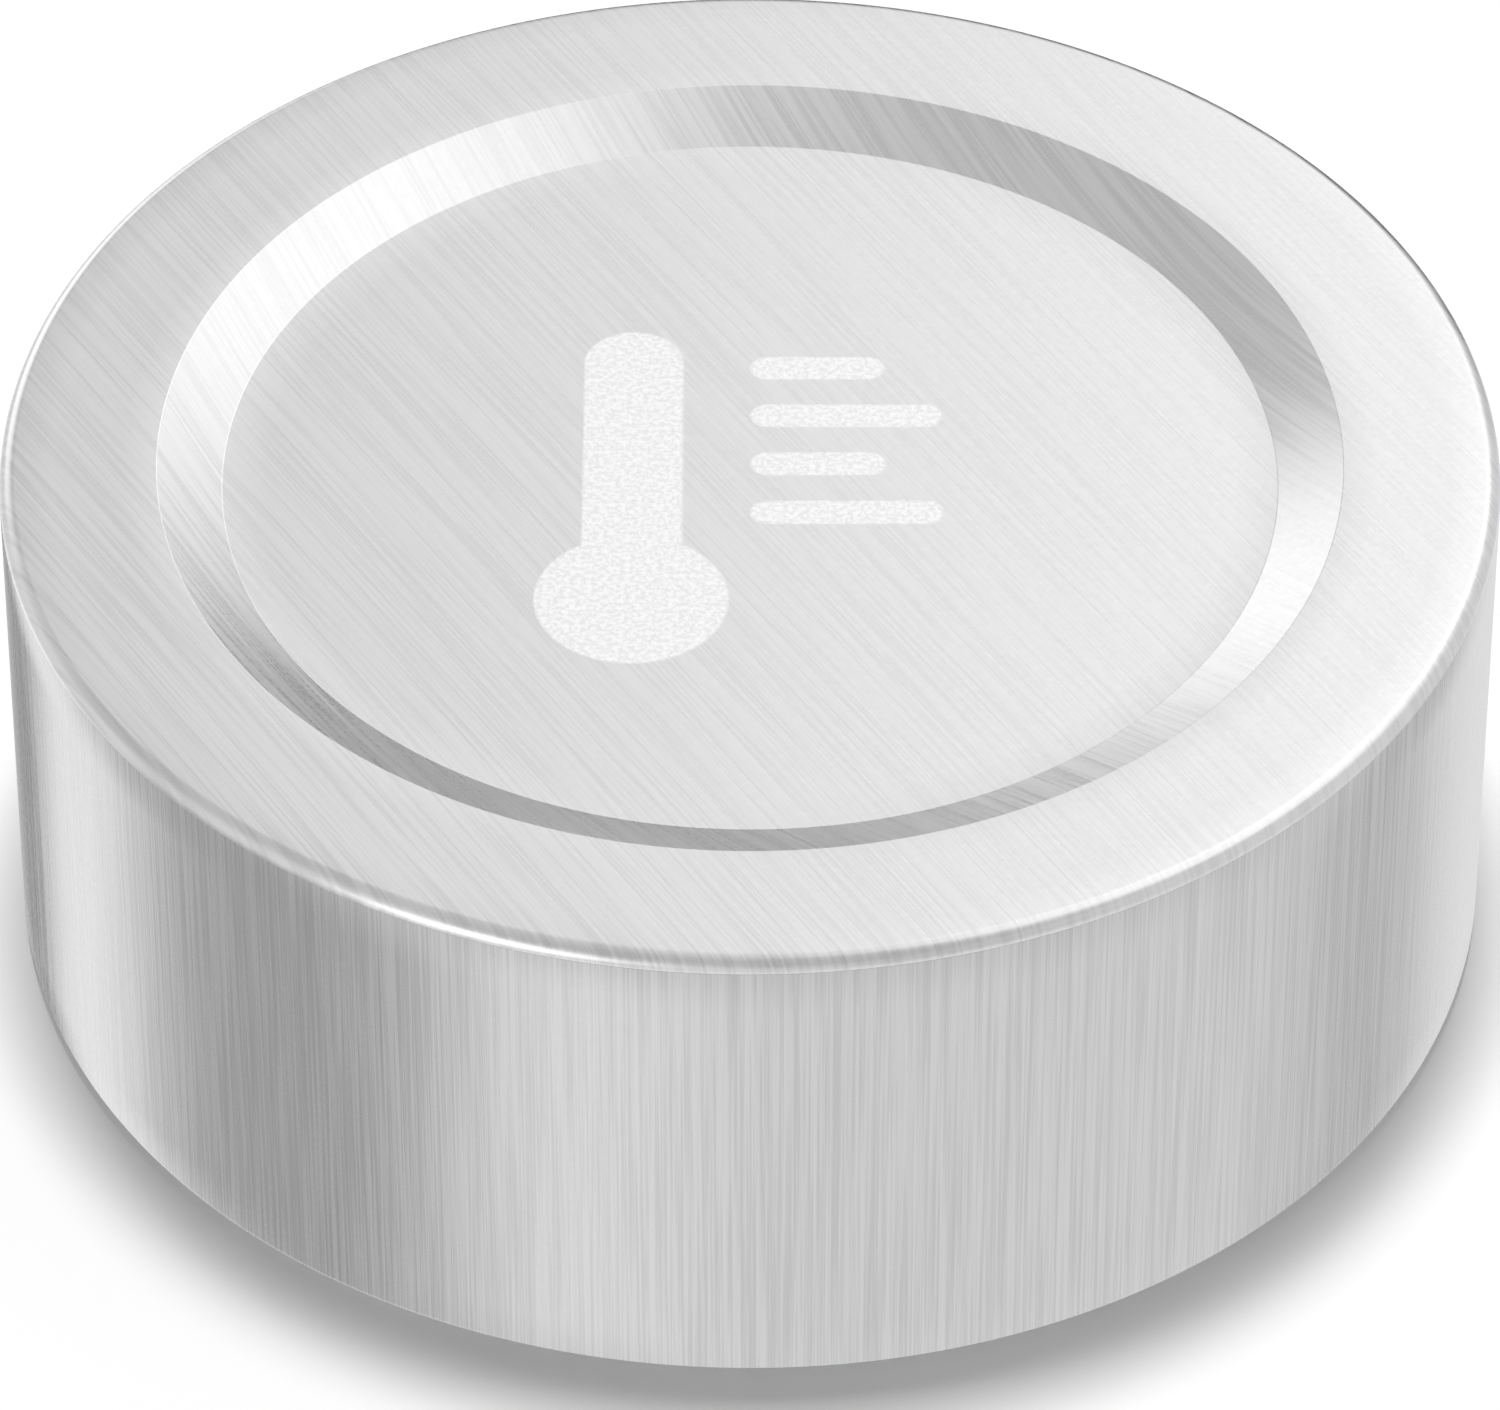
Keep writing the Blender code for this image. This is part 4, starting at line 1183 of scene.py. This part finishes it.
def makeBlockRibs(name, firstTab):
    # raised ribs above, below and between the poles of a terminal block, on both sides of its tabs
    low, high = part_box(f"terminal_block_{name}")
    tabs = [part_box(f"release_tab_{number}") for number in range(firstTab, firstTab + trim["poles"])]
    pitch = tabs[1][0].y - tabs[0][0].y
    start = (tabs[0][0].y + tabs[0][1].y) / 2 - pitch / 2
    gap = trim["ribGap"]
    gapLow, gapHigh = tabs[0][0].x - gap, tabs[0][1].x + gap
    rows = []
    for number in range(len(tabs) + 1):
        y = start + number * pitch
        for left, right in ((low.x + gap, gapLow), (gapHigh, high.x - gap)):
            centre = Vector(((left + right) / 2, y, high.z + trim["ribRise"] / 2 - trim["sink"]))
            rows.append((centre, (right - left, trim["ribWidth"], trim["ribRise"]), 0, 0))
    blocks(f"terminal_block_{name}_ribs", rows, [finishes["grey_plastic"]], "wall_base")


def makeRelayTrim(node):
    # the moulded foot that a relay's lid stands in, and the pip on the lid
    centre, half = middle(node)
    foot = trim["flange"]
    size = (2 * half.x + foot, 2 * half.y + foot, trim["flangeHeight"])
    rows = [(Vector((centre.x, centre.y, centre.z - half.z + size[2] / 2)), size, 0, 0)]
    pip = trim["pip"]
    lift = centre.z + half.z + pip[2] / 2 - trim["sink"]
    rows.append((Vector((centre.x - half.x + trim["pipAt"], centre.y, lift)), pip, 0, 1))
    relayFinishes = [finishes["black_plastic"], finishes["relay_plastic"]]
    blocks(node + "_trim", rows, relayFinishes, "wall_base")


makeBlockRibs("left", 1)
makeBlockRibs("right", 1 + trim["poles"])
makeRelayTrim("heating_relay")
makeRelayTrim("cooling_relay")
print("trim made")


contact = {
    "holeRadius": 1.0 * mm,
    "length": 3.6 * mm,
    "wall": 0.22 * mm,
    "from": 12.6 * mm,  # how far from the middle it starts
    "height": 5.9 * mm,  # of its axis
    "waist": 0.8,  # of the bore, halfway along
    "facets": 32,
}


def makeContacts():
    # the tinned sleeves that grip the wires, one in each hole of the terminal blocks
    c = contact
    outer = c["holeRadius"]
    inner = outer - c["wall"]
    half = c["length"] / 2
    profile = [(outer, half), (outer, -half), (inner, -half), (inner * c["waist"], 0.0), (inner, half)]
    for number in range(1, 1 + 2 * trim["poles"]):
        tab = middle(f"release_tab_{number}")[0]
        side = 1 if tab.x > 0 else -1
        sleeve = lathe(f"wire_contact_{number}", profile, [finishes["solder"]], facets=c["facets"])
        sleeve.data.transform(alongX(Vector((side * (c["from"] + half), tab.y, c["height"]))))
        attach(sleeve, "wall_base")


makeContacts()
print("contacts made")


stage = {
    "floorSize": 6.0,
    "floorDrop": 0.0001,  # so that the floor and the object's back don't share a plane
    "floorTone": (0.93, 0.96),
    "toneScale": 3.0,
    "roughness": 0.9,
    "specular": 0.1,
    "paintedGlowRange": (0.3, 1.2),  # metres from the object over which the floor starts to glow, a painted light that no lamp gives
    "glow": 0.5,
}


def makeFloor():
    s = stage
    mesh = bpy.data.meshes.new("floor")
    shape = bmesh.new()
    bmesh.ops.create_grid(shape, x_segments=2, y_segments=2, size=s["floorSize"] / 2)
    shape.to_mesh(mesh)
    shape.free()
    floor = added("floor", mesh)
    floor.location.z = cadLow.z - s["floorDrop"]
    floor.visible_glossy = False
    finish = Finish("floor_paper", roughness=s["roughness"], specular=s["specular"], glowStrength=1.0)
    place = finish.place()
    tint = finish.noise(place, s["toneScale"], detail=2.0)
    low, high = s["floorTone"]
    finish.drive("colour", finish.mixed(tint, grey(low), grey(high)))
    x, y = finish.split(place)[:2]
    # painted light: the floor glows away from the object and stays unlit near it
    far = reach(x, y).between(*s["paintedGlowRange"])
    finish.drive("glow", finish.mixed(far, grey(0.0), grey(s["glow"])))
    mesh.materials.append(finish.material)


# The studio round the object: soft bright and dark panels, in degrees. Each has its direction, the
# angles from it at which it starts to fade and has faded out, and its level. Azimuth 90 is behind
# the object and 0 is to its right; the panels below the horizon stand for what the table shows in
# the side, because the floor itself is hidden from reflections.
studio = {
    "level": 0.81,
    "fill": 0.46,  # the share of it that lights matt surfaces
    "backdrop": 0.96,  # what shows behind the floor
    "panels": {  # azimuth, elevation, inner, outer, level
        "table": (0.0, -90.0, 40.0, 76.0, 1.01),
        "rightSoftbox": (74.0, 52.0, 15.0, 28.0, 1.82),
        "highSoftbox": (24.0, 62.0, 14.0, 30.0, 1.4),
        "ceilingFlag": (159.0, 61.0, 16.0, 45.0, 0.62),
        "leftFlag": (126.0, 45.0, 15.0, 35.0, 0.60),
        "leftWindow": (117.0, 14.0, 9.0, 20.0, 1.55),
        "backFlag": (80.0, -7.0, 17.0, 25.0, 0.1),
        "cameraFlag": (-90.0, 45.0, 24.0, 48.0, 0.55),
        "frontCard": (-126.0, 3.0, 9.0, 24.0, 2.0),
        "frontFlag": (-62.0, 2.0, 8.0, 24.0, 0.62),
        "tableLeftFlag": (-169.0, -41.0, 9.0, 28.0, 0.53),
        "tableLeftCard": (-116.0, -41.0, 4.0, 15.0, 1.22),
        "tableRightFlag": (27.0, -41.0, 8.0, 20.0, 0.70),
        "tableRightCard": (54.0, -41.0, 6.0, 15.0, 1.1),
        "tableBackCard": (137.0, -41.0, 9.0, 19.0, 1.34),
        "tableBackGap": (118.0, -41.0, 3.0, 9.0, 0.05),
    },
}


def direction(azimuth, elevation):
    turn = math.radians(azimuth)
    rise = math.radians(elevation)
    return (math.cos(rise) * math.cos(turn), math.cos(rise) * math.sin(turn), math.sin(rise))


def makeStudio():
    world = bpy.data.worlds.new("studio")
    bpy.context.scene.world = world
    world.use_nodes = True
    graph = Graph(world.node_tree)
    way = graph.node("ShaderNodeTexCoord", out=0)
    radiance = studio["level"]
    for azimuth, elevation, inner, outer, level in studio["panels"].values():
        aim = direction(azimuth, elevation)
        facing = graph.node("ShaderNodeVectorMath", {"operation": "DOT_PRODUCT"}, {0: way, 1: aim}, out=1)
        panel = facing.between(math.cos(math.radians(outer)), math.cos(math.radians(inner)))
        radiance = radiance * (1 - panel) + panel * level
    matt = graph.node("ShaderNodeLightPath", out=2)  # 1 for the light on matt surfaces
    radiance = radiance * (1 - matt * (1 - studio["fill"]))
    seen = graph.node("ShaderNodeLightPath", out=0)  # 1 where a view looks past the floor
    radiance = radiance * (1 - seen) + seen * studio["backdrop"]
    backdrop = world.node_tree.nodes["Background"]
    backdrop.inputs["Color"].default_value = grey(1.0)
    graph.feed(backdrop.inputs["Strength"], radiance)


softboxes = {  # azimuth and elevation of its centre, distance, size and watts
    "key": {"azimuth": 94.0, "elevation": 83.5, "away": 1.6, "size": (0.3, 0.3), "power": 18.2},
}


def makeSoftbox(name, box):
    data = bpy.data.lights.new(name, "AREA")
    data.shape = "RECTANGLE"
    data.size, data.size_y = box["size"]
    data.energy = box["power"]
    light = added(name, data)
    light.visible_glossy = False
    away = Vector(direction(box["azimuth"], box["elevation"]))
    light.location = away * box["away"]
    light.rotation_mode = "QUATERNION"
    light.rotation_quaternion = away.to_track_quat("Z", "Y")


view = {
    "lens": 249.6,
    "sensor": 36.0,
    "clip": (0.01, 20.0),  # metres
    "place": (0.0, -0.4454, 0.4062),
    "down": 41.498,  # degrees below level
}


def makeCamera():
    v = view
    data = bpy.data.cameras.new("camera")
    data.lens = v["lens"]
    data.sensor_width = v["sensor"]
    data.clip_start, data.clip_end = v["clip"]
    camera = added("camera", data)
    camera.location = v["place"]
    camera.rotation_euler = (math.radians(90 - v["down"]), 0.0, 0.0)
    bpy.context.scene.camera = camera


makeFloor()
for boxName, box in softboxes.items():
    makeSoftbox(boxName, box)
makeStudio()
makeCamera()
bpy.context.scene.view_settings.view_transform = "Standard"
print("stage set")
